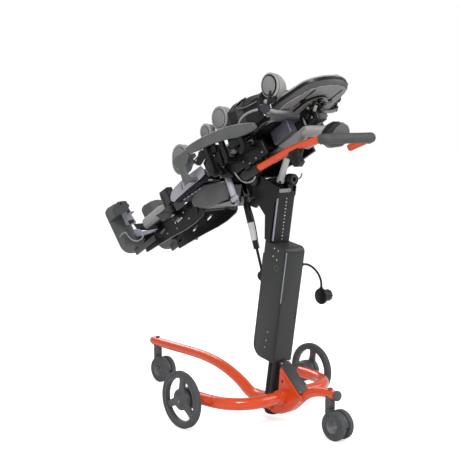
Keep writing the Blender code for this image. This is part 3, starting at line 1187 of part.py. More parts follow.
def bar_path():
    """The bent tube's route: up the left arm, across under the grip and down the short right arm."""
    bend = BAR_BEND
    left_end = GRIP_Y + bend
    points = [bar_line(-BAR_INSERT), bar_line(0), bar_line(BAR_STRAIGHT * 0.5), bar_line(BAR_STRAIGHT)]
    points += [Vector((-BAR_X, left_end + 48, GRIP_Z - 14)), Vector((-BAR_X, left_end + 8, GRIP_Z - 4)),
               Vector((-BAR_X, left_end - bend * 0.35, GRIP_Z - 1)),
               Vector((-BAR_X + bend * 0.35, GRIP_Y + bend * 0.1, GRIP_Z)), Vector((-BAR_X + bend, GRIP_Y, GRIP_Z)),
               Vector((BAR_X - bend, GRIP_Y, GRIP_Z)),
               Vector((BAR_X - bend * 0.35, GRIP_Y + bend * 0.1, GRIP_Z)),
               Vector((BAR_X, left_end - bend * 0.35, GRIP_Z - 3)), Vector((BAR_X, left_end + 8, GRIP_Z - 12)),
               Vector((BAR_X, GRIP_Y + RIGHT_ARM_LEN, GRIP_Z - 36))]
    return smooth_path(points, 2)


def build_push_bar(orange, black, dark):
    path = bar_path()
    at = bar_line(0)
    place("push_bar", sweep(path, BAR_R, 12), orange, origin=at)
    covered = [i for i, p in enumerate(path) if p.y < GRIP_Y + BAR_BEND + 2]
    grip = sleeve(path[covered[0]:covered[-1] + 1], GRIP_R, BAR_R + 2 * GAP, 12)
    place("push_grip", grip, black, origin=at)
    back = GRIP_Y + GRIP_R + GAP
    shape = [(-60, 40), (-38, 47), (28, 47), (52, 38), (58, 16), (50, -22), (10, -34), (-34, -36), (-52, -12)]
    case = loft([[Vector((HANDSET_X + x * k, y, GRIP_Z + 6 + z * k)) for x, z in shape]
                 for y, k in ((back, 0.92), (back + 4, 1.0), (back + HANDSET_T - 5, 1.0), (back + HANDSET_T, 0.9))])
    hook = turned([(GRIP_R + 1, 0), (GRIP_R + 4, 0), (GRIP_R + 4, 30), (GRIP_R + 1, 30)],
                  (HANDSET_X - 15, GRIP_Y, GRIP_Z), (1, 0, 0), 16, ring=True)
    mouth = box(-200, 200, GRIP_Y - 60, GRIP_Y + GRIP_R + 2, GRIP_Z - 80, GRIP_Z - 2)
    place("hand_control", join(case, cut(hook, mouth)), dark, origin=at)
    near = min(range(len(path) // 2), key=lambda i: abs(path[i].y - RELEASE_Y))
    mid = path[near]
    run = (path[near + 1] - path[near - 1]).normalized()
    collar = cylinder(mid - run * 13, mid + run * 13, BAR_R + 4, 16)
    shape = [(33, -36), (8, -61), (-34, -68), (-42, -40), (-14, -10), (14, -10)]
    block = prism([(mid.y + y, mid.z + z) for y, z in shape], -BAR_X - RELEASE_W / 2, -BAR_X + RELEASE_W / 2, 2)
    horn = prism([(mid.y + y, mid.z + z) for y, z in ((-30, -50), (-44, -42), (-78, -8), (-72, 0), (-36, -30))],
                 -BAR_X - 7, -BAR_X + 7)
    release = join(collar, block, horn)
    bore = sweep(path[near - 2:near + 3], BAR_R + GAP * 2, 14)
    place("spring_release", cut(release, bore), black, origin=at)


def lead_route():
    """The lead's centre line: straight out of the gland, a hanging curve, straight into the plug."""
    start = Vector((HOUSING_W / 2 + GLAND_LEN + GAP, LEAD_Y, LEAD_Z))
    end = start + Vector((LEAD_OUT, 0, -LEAD_DROP))
    first = start + Vector((2 * LEAD_R, 0, 0))
    last = end + Vector((0, 0, 2 * LEAD_R))
    lead = (first, first + Vector((LEAD_OUT * 0.4, 0, 0)), last + Vector((0, 0, LEAD_DROP * 0.42)), last)
    route = [start]
    for i in range(LEAD_POINTS):
        t = i / (LEAD_POINTS - 1)
        k = 1 - t
        route.append(lead[0] * k ** 3 + lead[1] * 3 * k * k * t + lead[2] * 3 * k * t * t + lead[3] * t ** 3)
    return route + [end]


def build_lead(black):
    """The short charging lead and its round plug; the gland is part of the housing."""
    route = lead_route()
    curve = bpy.data.curves.new("charging_lead", "CURVE")
    curve.dimensions = "3D"
    curve.bevel_depth = LEAD_R * UNIT
    curve.bevel_resolution = 2
    curve.resolution_u = 1
    curve.use_fill_caps = True
    spline = curve.splines.new("POLY")
    spline.points.add(len(route) - 1)
    for point, p in zip(spline.points, route):
        point.co = (p.x * UNIT, p.y * UNIT, p.z * UNIT, 1)
    curve.materials.append(black)
    obj = bpy.data.objects.new("charging_lead", curve)
    bpy.context.scene.collection.objects.link(obj)
    top = route[-1] - Vector((0, 0, GAP))
    boss = turned([(LEAD_R + 1.5, 0), (LEAD_R + 3, 6), (8, PLUG_REACH)], top, (0, 0, -1), 12)
    profile = [(PLUG_R - 3, 0), (PLUG_R, 3), (PLUG_R, PLUG_T - 2), (PLUG_R - 3, PLUG_T), (PLUG_NOSE_R, PLUG_T + 0.5),
               (PLUG_NOSE_R, PLUG_T + PLUG_NOSE_LEN - 3), (PLUG_NOSE_R - 3, PLUG_T + PLUG_NOSE_LEN)]
    centre = top - Vector((PLUG_T / 2, 0, PLUG_REACH))
    place("charging_plug", join(turned(profile, centre, (1, 0, 0), 20), boss), black)


def main():
    clear_scene()
    orange = material("orange_powder_coat", (0.80, 0.065, 0.012), 0.28)
    black = material("black_satin", (0.035, 0.036, 0.036), 0.45)
    dark = material("dark_anodised", (0.05, 0.052, 0.05), 0.4, 0.3)
    grey = material("wheel_grey", (0.13, 0.135, 0.14), 0.5)
    plate = material("plate_grey", (0.30, 0.30, 0.30), 0.4)
    steel = material("steel", (0.55, 0.55, 0.56), 0.3, 1.0)
    build_hub(orange, plate)
    build_long_legs(orange)
    build_side_legs(orange)
    build_wheels(grey)
    build_caster("front", FRONT_STEM_Y, FRONT_LEG_Z, FRONT_LEG_R, black, grey)
    build_caster("rear", REAR_STEM_Y, REAR_LEG_Z, REAR_LEG_R, black, grey)
    build_mast(black)
    build_column(black, dark, steel)
    build_housing(black)
    pale = material("plastic_pale_grey", (0.42, 0.42, 0.41), 0.5)
    blue = material("plastic_blue_grey", (0.09, 0.09, 0.12), 0.5)
    shell = material("shell_grey", (0.10, 0.105, 0.11), 0.45)
    fabric = material("fabric_grey", (0.45, 0.45, 0.46), 0.9)
    webbing = material("webbing_black", (0.02, 0.02, 0.02), 0.9)
    build_head(black, steel, pale, dark)
    build_gas_spring(black, steel)
    build_spine(black)
    build_covers(pale, blue)
    build_rails(shell, fabric)
    build_trunk(fabric, webbing)
    build_back(shell, black, fabric)
    build_seat(shell, fabric)
    build_legs(black, fabric, fabric, dark)
    build_push_bar(orange, black, shell)
    build_lead(black)


main()
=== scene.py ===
"""Standing frame: finishes, soft goods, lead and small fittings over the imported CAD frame.

Shapes are drawn in millimetres, in one of three frames: the floor frame (X, Y, Z), the leaning column's
frame (x, q, a: across, forward, along the column) and the tilted support's frame (x, s, h: across,
towards the head, towards the user). They are scaled to metres when a piece is put in place.
"""
import json
import math
import bpy
import bmesh
from bpy.props import FloatProperty, FloatVectorProperty, IntProperty, PointerProperty
from mathutils import Matrix, Vector, noise
from mathutils.bvhtree import BVHTree


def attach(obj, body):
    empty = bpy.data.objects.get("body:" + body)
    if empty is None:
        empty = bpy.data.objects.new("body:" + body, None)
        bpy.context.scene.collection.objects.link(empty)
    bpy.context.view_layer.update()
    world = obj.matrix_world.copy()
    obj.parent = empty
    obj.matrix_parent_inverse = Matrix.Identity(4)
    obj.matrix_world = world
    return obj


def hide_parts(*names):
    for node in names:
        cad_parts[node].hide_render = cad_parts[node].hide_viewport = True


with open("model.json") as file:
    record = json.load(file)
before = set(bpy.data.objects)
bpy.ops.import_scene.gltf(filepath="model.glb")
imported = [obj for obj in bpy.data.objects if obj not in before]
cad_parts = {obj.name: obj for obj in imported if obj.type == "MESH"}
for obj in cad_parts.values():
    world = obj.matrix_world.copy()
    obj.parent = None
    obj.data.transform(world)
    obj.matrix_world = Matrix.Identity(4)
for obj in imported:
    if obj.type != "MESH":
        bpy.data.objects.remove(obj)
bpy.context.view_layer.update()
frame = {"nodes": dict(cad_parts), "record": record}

bl_info = {
    "name": "Standing frame dressing",
    "version": (1, 0, 0),
    "blender": (4, 5, 0),
    "location": "3D View > Sidebar > Standing frame",
    "description": "Dresses the standing frame's CAD solids with finishes, pads, straps and fittings",
    "category": "Object",
}

UNIT = 0.001
IN_METRES = Matrix.Diagonal((UNIT, UNIT, UNIT, 1))
IN_MILLIMETRES = Matrix.Diagonal((1000, 1000, 1000, 1))
LEAN = math.radians(9.3)
TILT = math.radians(30.0)
PIVOT_Y, PIVOT_Z = 38.0, 848.0
MAST_Y = -4.0
SIDES = ((-1, "left"), (1, "right"))
FLOOR = Matrix.Identity(4)
COLUMN = Matrix(((1, 0, 0, 0), (0, math.cos(LEAN), -math.sin(LEAN), MAST_Y),
                 (0, math.sin(LEAN), math.cos(LEAN), 0), (0, 0, 0, 1)))
SUPPORT = Matrix(((1, 0, 0, 0), (0, -math.cos(TILT), math.sin(TILT), PIVOT_Y),
                  (0, math.sin(TILT), math.cos(TILT), PIVOT_Z), (0, 0, 0, 1)))


# Shader wiring

class Wire:
    """A shader socket that can be used in a Python expression."""

    def __init__(self, tree, socket):
        self.tree = tree
        self.socket = socket

    def _math(self, operation, first, second=None):
        node = self.tree.nodes.new("ShaderNodeMath")
        node.operation = operation
        for slot, value in zip(node.inputs, (first, second)):
            if isinstance(value, Wire):
                self.tree.links.new(value.socket, slot)
            elif value is not None:
                slot.default_value = value
        return Wire(self.tree, node.outputs[0])

    def __add__(self, other):
        return self._math("ADD", self, other)

    def __mul__(self, other):
        return self._math("MULTIPLY", self, other)

    __radd__ = __add__
    __rmul__ = __mul__

    def sine(self):
        return self._math("SINE", self)


class Nodes:
    """A node tree, emptied and wired up anew."""

    def __init__(self, tree):
        self.tree = tree
        tree.nodes.clear()

    def node(self, kind, settings=None, output=0, **values):
        """One node: its settings first, then its sockets' values or links, by name or as i0, i1 and so on.

        output is the number of the wanted output, several numbers, or None for a node that has none.
        """
        node = self.tree.nodes.new(kind)
        for key, value in (settings or {}).items():
            if key == "stops":
                while len(node.color_ramp.elements) < len(value):
                    node.color_ramp.elements.new(0.5)
                for element, (at, grey) in zip(node.color_ramp.elements, value):
                    element.position = at
                    element.color = (grey, grey, grey, 1)
            else:
                setattr(node, key, value)
        for key, value in values.items():
            slot = node.inputs[int(key[1:]) if key[1:].isdigit() else key.replace("_", " ")]
            if isinstance(value, Wire):
                self.tree.links.new(value.socket, slot)
            else:
                slot.default_value = value
        if output is None:
            return None
        if isinstance(output, int):
            return Wire(self.tree, node.outputs[output])
        return [Wire(self.tree, node.outputs[number]) for number in output]


class Finish(Nodes):
    """A material whose nodes are being wired up."""

    def __init__(self, name):
        self.material = bpy.data.materials.new(name)
        self.material.use_nodes = True
        super().__init__(self.material.node_tree)

    def place(self, turn=(0, 0, 0), scale=(1, 1, 1)):
        """The piece's own coordinates, turned and scaled for a pattern."""
        at = self.node("ShaderNodeTexCoord", output=3)
        return self.node("ShaderNodeMapping", Vector=at, Rotation=turn, Scale=scale)

    def directions(self, at):
        """The three coordinates of a place, each on its own."""
        return self.node("ShaderNodeSeparateXYZ", output=(0, 1, 2), Vector=at)

    def noise(self, scale, detail=2.0, at=None, rough=0.5):
        return self.node("ShaderNodeTexNoise", Vector=at or self.place(), Scale=scale, Detail=detail,
                         Roughness=rough)

    def ramp(self, value, *stops):
        """Grey stops along a value."""
        return self.node("ShaderNodeValToRGB", {"stops": stops}, i0=value)

    def mix(self, factor, first, second):
        """A colour between two, by a value."""
        first, second = (one if isinstance(one, Wire) else (*one, 1) for one in (first, second))
        return self.node("ShaderNodeMix", {"data_type": "RGBA"}, 2, i0=factor, i6=first, i7=second)

    def bump(self, height, strength, depth):
        return self.node("ShaderNodeBump", Height=height, Strength=strength, Distance=depth)

    def close(self, shader):
        """Put the last shader on the material's output."""
        self.node("ShaderNodeOutputMaterial", output=None, Surface=shader)
        return self.material

    def surface(self, **values):
        return self.close(self.node("ShaderNodeBsdfPrincipled", **values))


def tint(colour, factor):
    """A colour made lighter or darker."""
    return tuple(min(1.0, c * factor) for c in colour)


FINISHES = {}


def make_powder_coat(name, colour, rough, coat, grain):
    """Sprayed powder coat: slight orange peel, soft clear gloss and a few duller patches."""
    f = Finish(name)
    patch = f.noise(9.0, 3.0)
    peel = f.noise(grain, 2.0)
    shade = f.mix(f.ramp(patch, (0.35, 0.0), (0.7, 1.0)), tint(colour, 0.92), tint(colour, 1.06))
    FINISHES[name] = f.surface(
        Base_Color=shade, Metallic=0.0, Roughness=patch * 0.1 + (rough - 0.05), Coat_Weight=coat,
        Coat_Roughness=0.05, Specular_IOR_Level=0.35, Normal=f.bump(peel, 0.1, 0.0003))


def make_moulding(name, colour, rough, grain=700.0, depth=0.5, gloss=0.5):
    """Moulded plastic: fine spark-eroded grain and faint flow patches."""
    f = Finish(name)
    flow = f.noise(14.0, 4.0)
    skin = f.noise(grain, 3.0, rough=0.6)
    shade = f.mix(f.ramp(flow, (0.3, 0.0), (0.75, 1.0)), tint(colour, 0.86), tint(colour, 1.12))
    FINISHES[name] = f.surface(
        Base_Color=shade, Roughness=flow * 0.12 + (rough - 0.06), Specular_IOR_Level=gloss,
        Normal=f.bump(skin, depth, 0.0003))


def make_rubber(name, colour, rough):
    """Tyre rubber: matt, a little dusty, with fine pits."""
    f = Finish(name)
    dust = f.noise(26.0, 5.0, rough=0.65)
    pits = f.noise(900.0, 2.0)
    shade = f.mix(f.ramp(dust, (0.42, 0.0), (0.72, 1.0)), colour, tint(colour, 1.35))
    FINISHES[name] = f.surface(
        Base_Color=shade, Roughness=dust * 0.16 + rough, Specular_IOR_Level=0.35,
        Normal=f.bump(pits, 0.35, 0.0003))


def make_extrusion(name, colour, rough):
    """Black anodised extrusion: hair-fine draw lines along the column."""
    f = Finish(name)
    lines = f.noise(60.0, 3.0, at=f.place(turn=(-LEAN, 0, 0), scale=(22, 22, 0.25)))
    cloud = f.noise(6.0, 2.0)
    shade = f.mix(f.ramp(lines, (0.3, 0.0), (0.7, 1.0)), tint(colour, 0.9), tint(colour, 1.1))
    FINISHES[name] = f.surface(
        Base_Color=shade, Metallic=0.55, Roughness=cloud * 0.08 + (lines * 0.08 + (rough - 0.08)),
        Normal=f.bump(lines, 0.08, 0.0002))


def make_steel(name, colour, rough):
    """Turned and plated steel with fine machining marks."""
    f = Finish(name)
    marks = f.noise(420.0, 2.0)
    cloud = f.noise(30.0, 3.0)
    FINISHES[name] = f.surface(
        Base_Color=f.mix(cloud, tint(colour, 0.85), colour), Metallic=1.0,
        Roughness=marks * 0.12 + (rough - 0.06), Normal=f.bump(marks, 0.06, 0.0002))


def make_cloth(name, colour, pitch, depth, fuzz, turn=TILT):
    """Woven or knitted upholstery: crossed threads in the support's own directions, soft pile on top, painted
    shade in the weave's hollows.
    """
    f = Finish(name)
    at = f.place(turn=(turn, 0, 0))
    count = 2 * math.pi / (pitch * UNIT)
    across, along, up = f.directions(at)
    weave = ((across * count).sine() * (along * count).sine() + (up * count).sine() * 0.7)
    lint = f.noise(1500.0, 2.0, at=at)
    wash = f.noise(11.0, 3.0, at=at)
    height = weave * 0.5 + lint * 0.8
    shade = f.mix(f.ramp(wash, (0.32, 0.0), (0.72, 1.0)), tint(colour, 0.88), tint(colour, 1.06))
    # painted shade: the weave's low points, between the threads, are darkened towards 0.62 of the colour
    shade = f.mix(f.ramp(weave * 0.5 + 0.5, (0.2, 0.28), (0.65, 0.0)), shade, tint(colour, 0.62))
    FINISHES[name] = f.surface(
        Base_Color=shade, Roughness=0.92, Specular_IOR_Level=0.2, Sheen_Weight=fuzz, Sheen_Roughness=0.5,
        Normal=f.bump(height, depth, 0.0005))


def make_webbing(name, colour):
    """Flat woven strap: ribs across, a slight shine on the ribs."""
    f = Finish(name)
    at = f.place(turn=(TILT, 0, 0))
    across, along, up = f.directions(at)
    ribs = ((along + up * 0.4) * 3400.0).sine() + (across * 5200.0).sine() * 0.5
    wash = f.noise(40.0, 3.0)
    shade = f.mix(f.ramp(wash, (0.3, 0.0), (0.7, 1.0)), tint(colour, 0.88), tint(colour, 1.08))
    FINISHES[name] = f.surface(
        Base_Color=shade, Roughness=0.62, Sheen_Weight=0.2, Normal=f.bump(ribs, 0.4, 0.0004))


def make_plain(name, colour, rough):
    """Smooth paint or plastic with light wear."""
    f = Finish(name)
    wear = f.noise(60.0, 3.0)
    FINISHES[name] = f.surface(
        Base_Color=f.mix(wear, tint(colour, 0.88), tint(colour, 1.05)), Roughness=wear * 0.1 + (rough - 0.05))


# Drawing: each of these adds to a bmesh, in millimetres

def turn_to(axis):
    """A turn that takes Z to an axis."""
    return Vector((0, 0, 1)).rotation_difference(Vector(axis).normalized()).to_matrix().to_4x4()


def add(bm, extra, matrix=None):
    """Put one bmesh's shape into another."""
    if matrix is not None:
        extra.transform(matrix)
    mesh = bpy.data.meshes.new("part")
    extra.to_mesh(mesh)
    extra.free()
    bm.from_mesh(mesh)
    bpy.data.meshes.remove(mesh)
    return bm


def soften(bm, width, segments=3, angle=25.0):
    """Round every edge that is sharper than an angle."""
    edges = [e for e in bm.edges if len(e.link_faces) == 2 and e.calc_face_angle(0) > math.radians(angle)]
    if width > 0 and edges:
        bmesh.ops.bevel(bm, geom=edges, offset=width, segments=segments, affect="EDGES", profile=0.5,
                        material=-1, clamp_overlap=True)
    return bm


def brick(x0, x1, y0, y1, z0, z1, round_=0.0, segments=3):
    """A block between three pairs of faces, its edges rounded."""
    bm = bmesh.new()
    bmesh.ops.create_cube(bm, size=1)
    bm.transform(Matrix.Translation(((x0 + x1) / 2, (y0 + y1) / 2, (z0 + z1) / 2))
                 @ Matrix.Diagonal((x1 - x0, y1 - y0, z1 - z0, 1)))
    return soften(bm, round_, segments)


def rod(start, end, radius, sides=24, round_=0.0, tip=None):
    """A round bar between two points; tip is its radius at the far end."""
    start, end = Vector(start), Vector(end)
    bm = bmesh.new()
    bmesh.ops.create_cone(bm, cap_ends=True, segments=sides, radius1=radius,
                          radius2=radius if tip is None else tip, depth=(end - start).length)
    soften(bm, round_, 2, 40)
    bm.transform(Matrix.Translation((start + end) / 2) @ turn_to(end - start))
    return bm


def lathe(profile, start, axis, steps=64, ring=False):
    """Spin a profile of (radius, distance along the axis); a ring's profile closes on itself."""
    bm = bmesh.new()
    points = [bm.verts.new((r, 0, d)) for r, d in profile]
    for a, b in zip(points, points[1:]):
        bm.edges.new((a, b))
    if ring:
        bm.edges.new((points[-1], points[0]))
    bmesh.ops.spin(bm, geom=bm.verts[:] + bm.edges[:], cent=(0, 0, 0), axis=(0, 0, 1),
                   angle=2 * math.pi, steps=steps, use_merge=True)
    bmesh.ops.remove_doubles(bm, verts=bm.verts, dist=0.001)
    if not ring:
        bmesh.ops.holes_fill(bm, edges=[e for e in bm.edges if e.is_boundary], sides=0)
    bm.transform(Matrix.Translation(start) @ turn_to(axis))
    return bm


def cut_out(points, low, high, plane="xs", round_=0.0, segments=3):
    """A flat outline raised into a plate. plane names the outline's two directions."""
    bm = bmesh.new()
    if plane == "yz":
        verts = [bm.verts.new((low, u, v)) for u, v in points]
        push = Vector((high - low, 0, 0))
    elif plane == "xz":
        verts = [bm.verts.new((u, low, v)) for u, v in points]
        push = Vector((0, high - low, 0))
    else:
        verts = [bm.verts.new((u, v, low)) for u, v in points]
        push = Vector((0, 0, high - low))
    face = bm.faces.new(verts)
    made = bmesh.ops.extrude_face_region(bm, geom=[face])
    bmesh.ops.translate(bm, vec=push, verts=[v for v in made["geom"] if isinstance(v, bmesh.types.BMVert)])
    bmesh.ops.recalc_face_normals(bm, faces=bm.faces)
    if round_:
        level = [e for e in bm.edges if abs((e.verts[1].co - e.verts[0].co).dot(push)) < 1e-6]
        bmesh.ops.bevel(bm, geom=level, offset=round_, segments=segments, affect="EDGES", profile=0.5,
                        material=-1, clamp_overlap=True)
    return bm


def upright(outline, low, high, round_=0.0, segments=3):
    """A plate that stands lengthwise: its outline is drawn from the side, low and high are its faces' X."""
    return cut_out(outline, low, high, "yz", round_, segments)


def pipe(points, radius, radii=None, closed=False, fine=6, sides=3):
    """A round bar along a smooth line through the points; radii scales it point by point."""
    curve = bpy.data.curves.new("line", "CURVE")
    curve.dimensions = "3D"
    curve.bevel_depth = radius
    curve.bevel_resolution = sides
    curve.use_fill_caps = not closed
    curve.resolution_u = fine
    spline = curve.splines.new("BEZIER")
    spline.bezier_points.add(len(points) - 1)
    spline.use_cyclic_u = closed
    for i, (knot, point) in enumerate(zip(spline.bezier_points, points)):
        knot.co = point
        knot.handle_left_type = knot.handle_right_type = "AUTO"
        knot.radius = radii[i] if radii else 1.0
    holder = bpy.data.objects.new("line", curve)
    bpy.context.scene.collection.objects.link(holder)
    bpy.context.view_layer.update()
    mesh = holder.to_mesh()
    bm = bmesh.new()
    bm.from_mesh(mesh)
    holder.to_mesh_clear()
    bpy.data.objects.remove(holder)
    bpy.data.curves.remove(curve)
    bmesh.ops.remove_doubles(bm, verts=bm.verts, dist=0.001)
    bmesh.ops.recalc_face_normals(bm, faces=bm.faces)
    return bm


def side_wire(x, route, radius, fine=6, sides=4):
    """A bent wire in the upright plane at x."""
    return pipe([(x, s, h) for s, h in route], radius, fine=fine, sides=sides)


def level_bead(outline, height, radius, sides=3):
    """A closed bead that lies level round an outline."""
    return pipe([(x, y, height) for x, y in outline], radius, closed=True, fine=3, sides=sides)


def screw_head(at, axis, radius, height, socket=0.5):
    """A domed cap screw with a round socket."""
    profile = [(0.001, height * 0.45), (radius * socket * 0.8, height * 0.45),
               (radius * socket, height * 0.92), (radius * 0.72, height), (radius * 0.93, height * 0.75),
               (radius, height * 0.35), (radius, 0)]
    return lathe(profile, at, axis, 20)


def screw_row(places, axis, height):
    """Screw heads that look the same way, each given as its place and radius."""
    bm = bmesh.new()
    for *at, radius in places:
        add(bm, screw_head(at, axis, radius, height))
    return bm


def capsule(a, b, radius, steps=8):
    """The outline of a slot from a to b, in two dimensions."""
    a, b = Vector(a), Vector(b)
    run = (b - a).normalized()
    start = math.atan2(run.y, run.x)
    points = []
    for centre, first in ((b, start - math.pi / 2), (a, start + math.pi / 2)):
        for i in range(steps + 1):
            t = first + math.pi * i / steps
            points.append((centre.x + radius * math.cos(t), centre.y + radius * math.sin(t)))
    return points


def arc(centre, radius, first, last, steps):
    """Points on a circle between two angles in degrees."""
    return [(centre[0] + radius * math.cos(math.radians(first + (last - first) * i / steps)),
             centre[1] + radius * math.sin(math.radians(first + (last - first) * i / steps)))
            for i in range(steps + 1)]


def rounded(x0, x1, y0, y1, radius, steps=6):
    """The outline of a rectangle with round corners."""
    points = []
    for x, y, first in ((x1 - radius, y1 - radius, 0), (x0 + radius, y1 - radius, 90),
                        (x0 + radius, y0 + radius, 180), (x1 - radius, y0 + radius, 270)):
        points += arc((x, y), radius, first, first + 90, steps)
    return points


def carve(bm, *tools):
    """Take other shapes out of one."""
    made = []
    for form in (bm, *tools):
        mesh = bpy.data.meshes.new("form")
        bmesh.ops.recalc_face_normals(form, faces=form.faces)
        form.to_mesh(mesh)
        form.free()
        holder = bpy.data.objects.new("form", mesh)
        bpy.context.scene.collection.objects.link(holder)
        made.append(holder)
    for tool in made[1:]:
        modifier = made[0].modifiers.new("carve", "BOOLEAN")
        modifier.solver = "EXACT"
        modifier.operation = "DIFFERENCE"
        modifier.object = tool
    carved = bpy.data.meshes.new_from_object(made[0].evaluated_get(bpy.context.evaluated_depsgraph_get()))
    out = bmesh.new()
    out.from_mesh(carved)
    for holder in made:
        mesh = holder.data
        bpy.data.objects.remove(holder)
        bpy.data.meshes.remove(mesh)
    bpy.data.meshes.remove(carved)
    return out


def span(side, near, far):
    """Two distances from the middle, taken to one side, the lower value first."""
    return sorted((side * near, side * far))


def mirror_x(bm):
    """The same shape on the other side."""
    bm.transform(Matrix.Diagonal((-1, 1, 1, 1)))
    bmesh.ops.reverse_faces(bm, faces=bm.faces)
    return bm


def settle(name, bm, material, body, into=FLOOR, smooth=38.0, break_edges=0.0, replaces=(),
           levels=0):
    """Finish a drawn piece: in metres, in place, facing out, smooth where it is round, riding on its body."""
    bm.transform(IN_METRES @ into)
    bmesh.ops.remove_doubles(bm, verts=bm.verts, dist=1e-6)
    bmesh.ops.recalc_face_normals(bm, faces=bm.faces)
    mesh = bpy.data.meshes.new(name)
    bm.to_mesh(mesh)
    bm.free()
    for one in (material,) if isinstance(material, str) else material:
        mesh.materials.append(FINISHES[one])
    mesh.shade_smooth()
    mesh.set_sharp_from_angle(angle=math.radians(smooth))
    obj = bpy.data.objects.new(name, mesh)
    bpy.context.scene.collection.objects.link(obj)
    if break_edges:
        bevel = obj.modifiers.new("broken edges", "BEVEL")
        bevel.width = break_edges * UNIT
        bevel.segments = 2
        bevel.limit_method = "ANGLE"
        bevel.angle_limit = math.radians(smooth)
        bevel.use_clamp_overlap = True
        bevel.harden_normals = True
    if levels:
        sub = obj.modifiers.new("round", "SUBSURF")
        sub.levels = sub.render_levels = levels
    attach(obj, body)
    if replaces:
        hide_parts(*replaces)
    return obj


BODY_OF = {node: body for body, nodes in frame["record"]["behaviour"]["bodies"].items() for node in nodes}


def dress(node, material, smooth=38.0, edge=0.7, second=None):
    """Carry a CAD piece over: its flat faces whole again, smooth where it is round, its edges broken.

    second is a test of a face's middle, in the support's frame, for the other finish of a pair.
    """
    bm = bmesh.new()
    bm.from_mesh(frame["nodes"][node].data)
    bmesh.ops.remove_doubles(bm, verts=bm.verts, dist=2e-6)
    bmesh.ops.dissolve_limit(bm, angle_limit=math.radians(0.6), verts=bm.verts, edges=bm.edges)
    bm.transform(IN_MILLIMETRES)
    if second:
        back = SUPPORT.inverted()
        for face in bm.faces:
            face.material_index = int(second(back @ face.calc_center_median(), back.to_3x3() @ face.normal))
    return settle(node + "_finished", bm, material, BODY_OF[node], smooth=smooth, break_edges=edge,
                  replaces=(node,))


# Soft goods

AIR_STEPS = 20
WIDE_FACE = 0.55


def blown(name, bm, voxel, pressure, cap, floor=None):
    """Blow up a closed pad with the cloth solver, capped, its back kept flat; sizes are in millimetres."""
    bm.transform(IN_METRES)
    mesh = bpy.data.meshes.new(name)
    bm.to_mesh(mesh)
    bm.free()
    obj = bpy.data.objects.new(name, mesh)
    bpy.context.scene.collection.objects.link(obj)
    remesh = obj.modifiers.new("even", "REMESH")
    remesh.mode = "VOXEL"
    remesh.voxel_size = voxel * UNIT
    even = bpy.data.meshes.new_from_object(obj.evaluated_get(bpy.context.evaluated_depsgraph_get()))
    obj.modifiers.clear()
    obj.data = even
    rest = [v.co.copy() for v in even.vertices]
    moved = rest
    cloth = obj.modifiers.new("air", "CLOTH")
    cloth.settings.use_pressure = True
    cloth.settings.uniform_pressure_force = pressure
    cloth.settings.quality = 5
    cloth.settings.effector_weights.gravity = 0
    cloth.settings.tension_stiffness = 25
    cloth.settings.compression_stiffness = 25
    cloth.settings.bending_stiffness = 2
    cloth.point_cache.frame_start = 1
    cloth.point_cache.frame_end = AIR_STEPS
    for step in range(1, AIR_STEPS + 1):
        bpy.context.scene.frame_set(step)
    blown_mesh = obj.evaluated_get(bpy.context.evaluated_depsgraph_get()).to_mesh()
    moved = [v.co.copy() for v in blown_mesh.vertices]
    obj.evaluated_get(bpy.context.evaluated_depsgraph_get()).to_mesh_clear()
    obj.modifiers.clear()
    bpy.context.scene.frame_set(1)
    out = bmesh.new()
    out.from_mesh(even)
    out.verts.ensure_lookup_table()
    for vert, a, b in zip(out.verts, rest, moved):
        step = b - a
        reach = min(1.0, cap * UNIT / max(step.length, 1e-9))
        vert.co = a + step * reach
        if floor is not None:
            vert.co.z = max(vert.co.z, floor * UNIT)
    bmesh.ops.smooth_vert(out, verts=out.verts, factor=0.5, use_axis_x=True, use_axis_y=True, use_axis_z=True)
    out.transform(IN_MILLIMETRES)
    bpy.data.objects.remove(obj)
    return out


def pad_form(outline, low, high, edge, crown=0.0):
    """A pad before it is blown up: a bevelled slab, its top drawn up in the middle by the crown."""
    bm = cut_out(outline, low, high, "xs", edge, 3)
    if crown:
        centre = Vector((sum(p[0] for p in outline) / len(outline),
                         sum(p[1] for p in outline) / len(outline)))
        reach = max((Vector(p) - centre).length for p in outline)
        top = [f for f in bm.faces if f.normal.z > 0.9 and f.calc_center_median().z > high - 0.01]
        poked = bmesh.ops.poke(bm, faces=top)
        for vert in poked["verts"]:
            vert.co.z += crown * min(1.0, reach / 60)
    return bm


def seam_line(bm, height, centre, steps=72, inset=0.4):
    """Points round a pad's side at a height, found by looking in from outside."""
    tree = BVHTree.FromBMesh(bm)
    line = []
    for i in range(steps):
        turn = 2 * math.pi * i / steps
        out = Vector((math.cos(turn), math.sin(turn), 0))
        origin = Vector((centre[0], centre[1], height)) + out * 600
        hit = tree.ray_cast(origin, -out)
        if hit[0] is not None:
            line.append(hit[0] - out * inset)
    return line


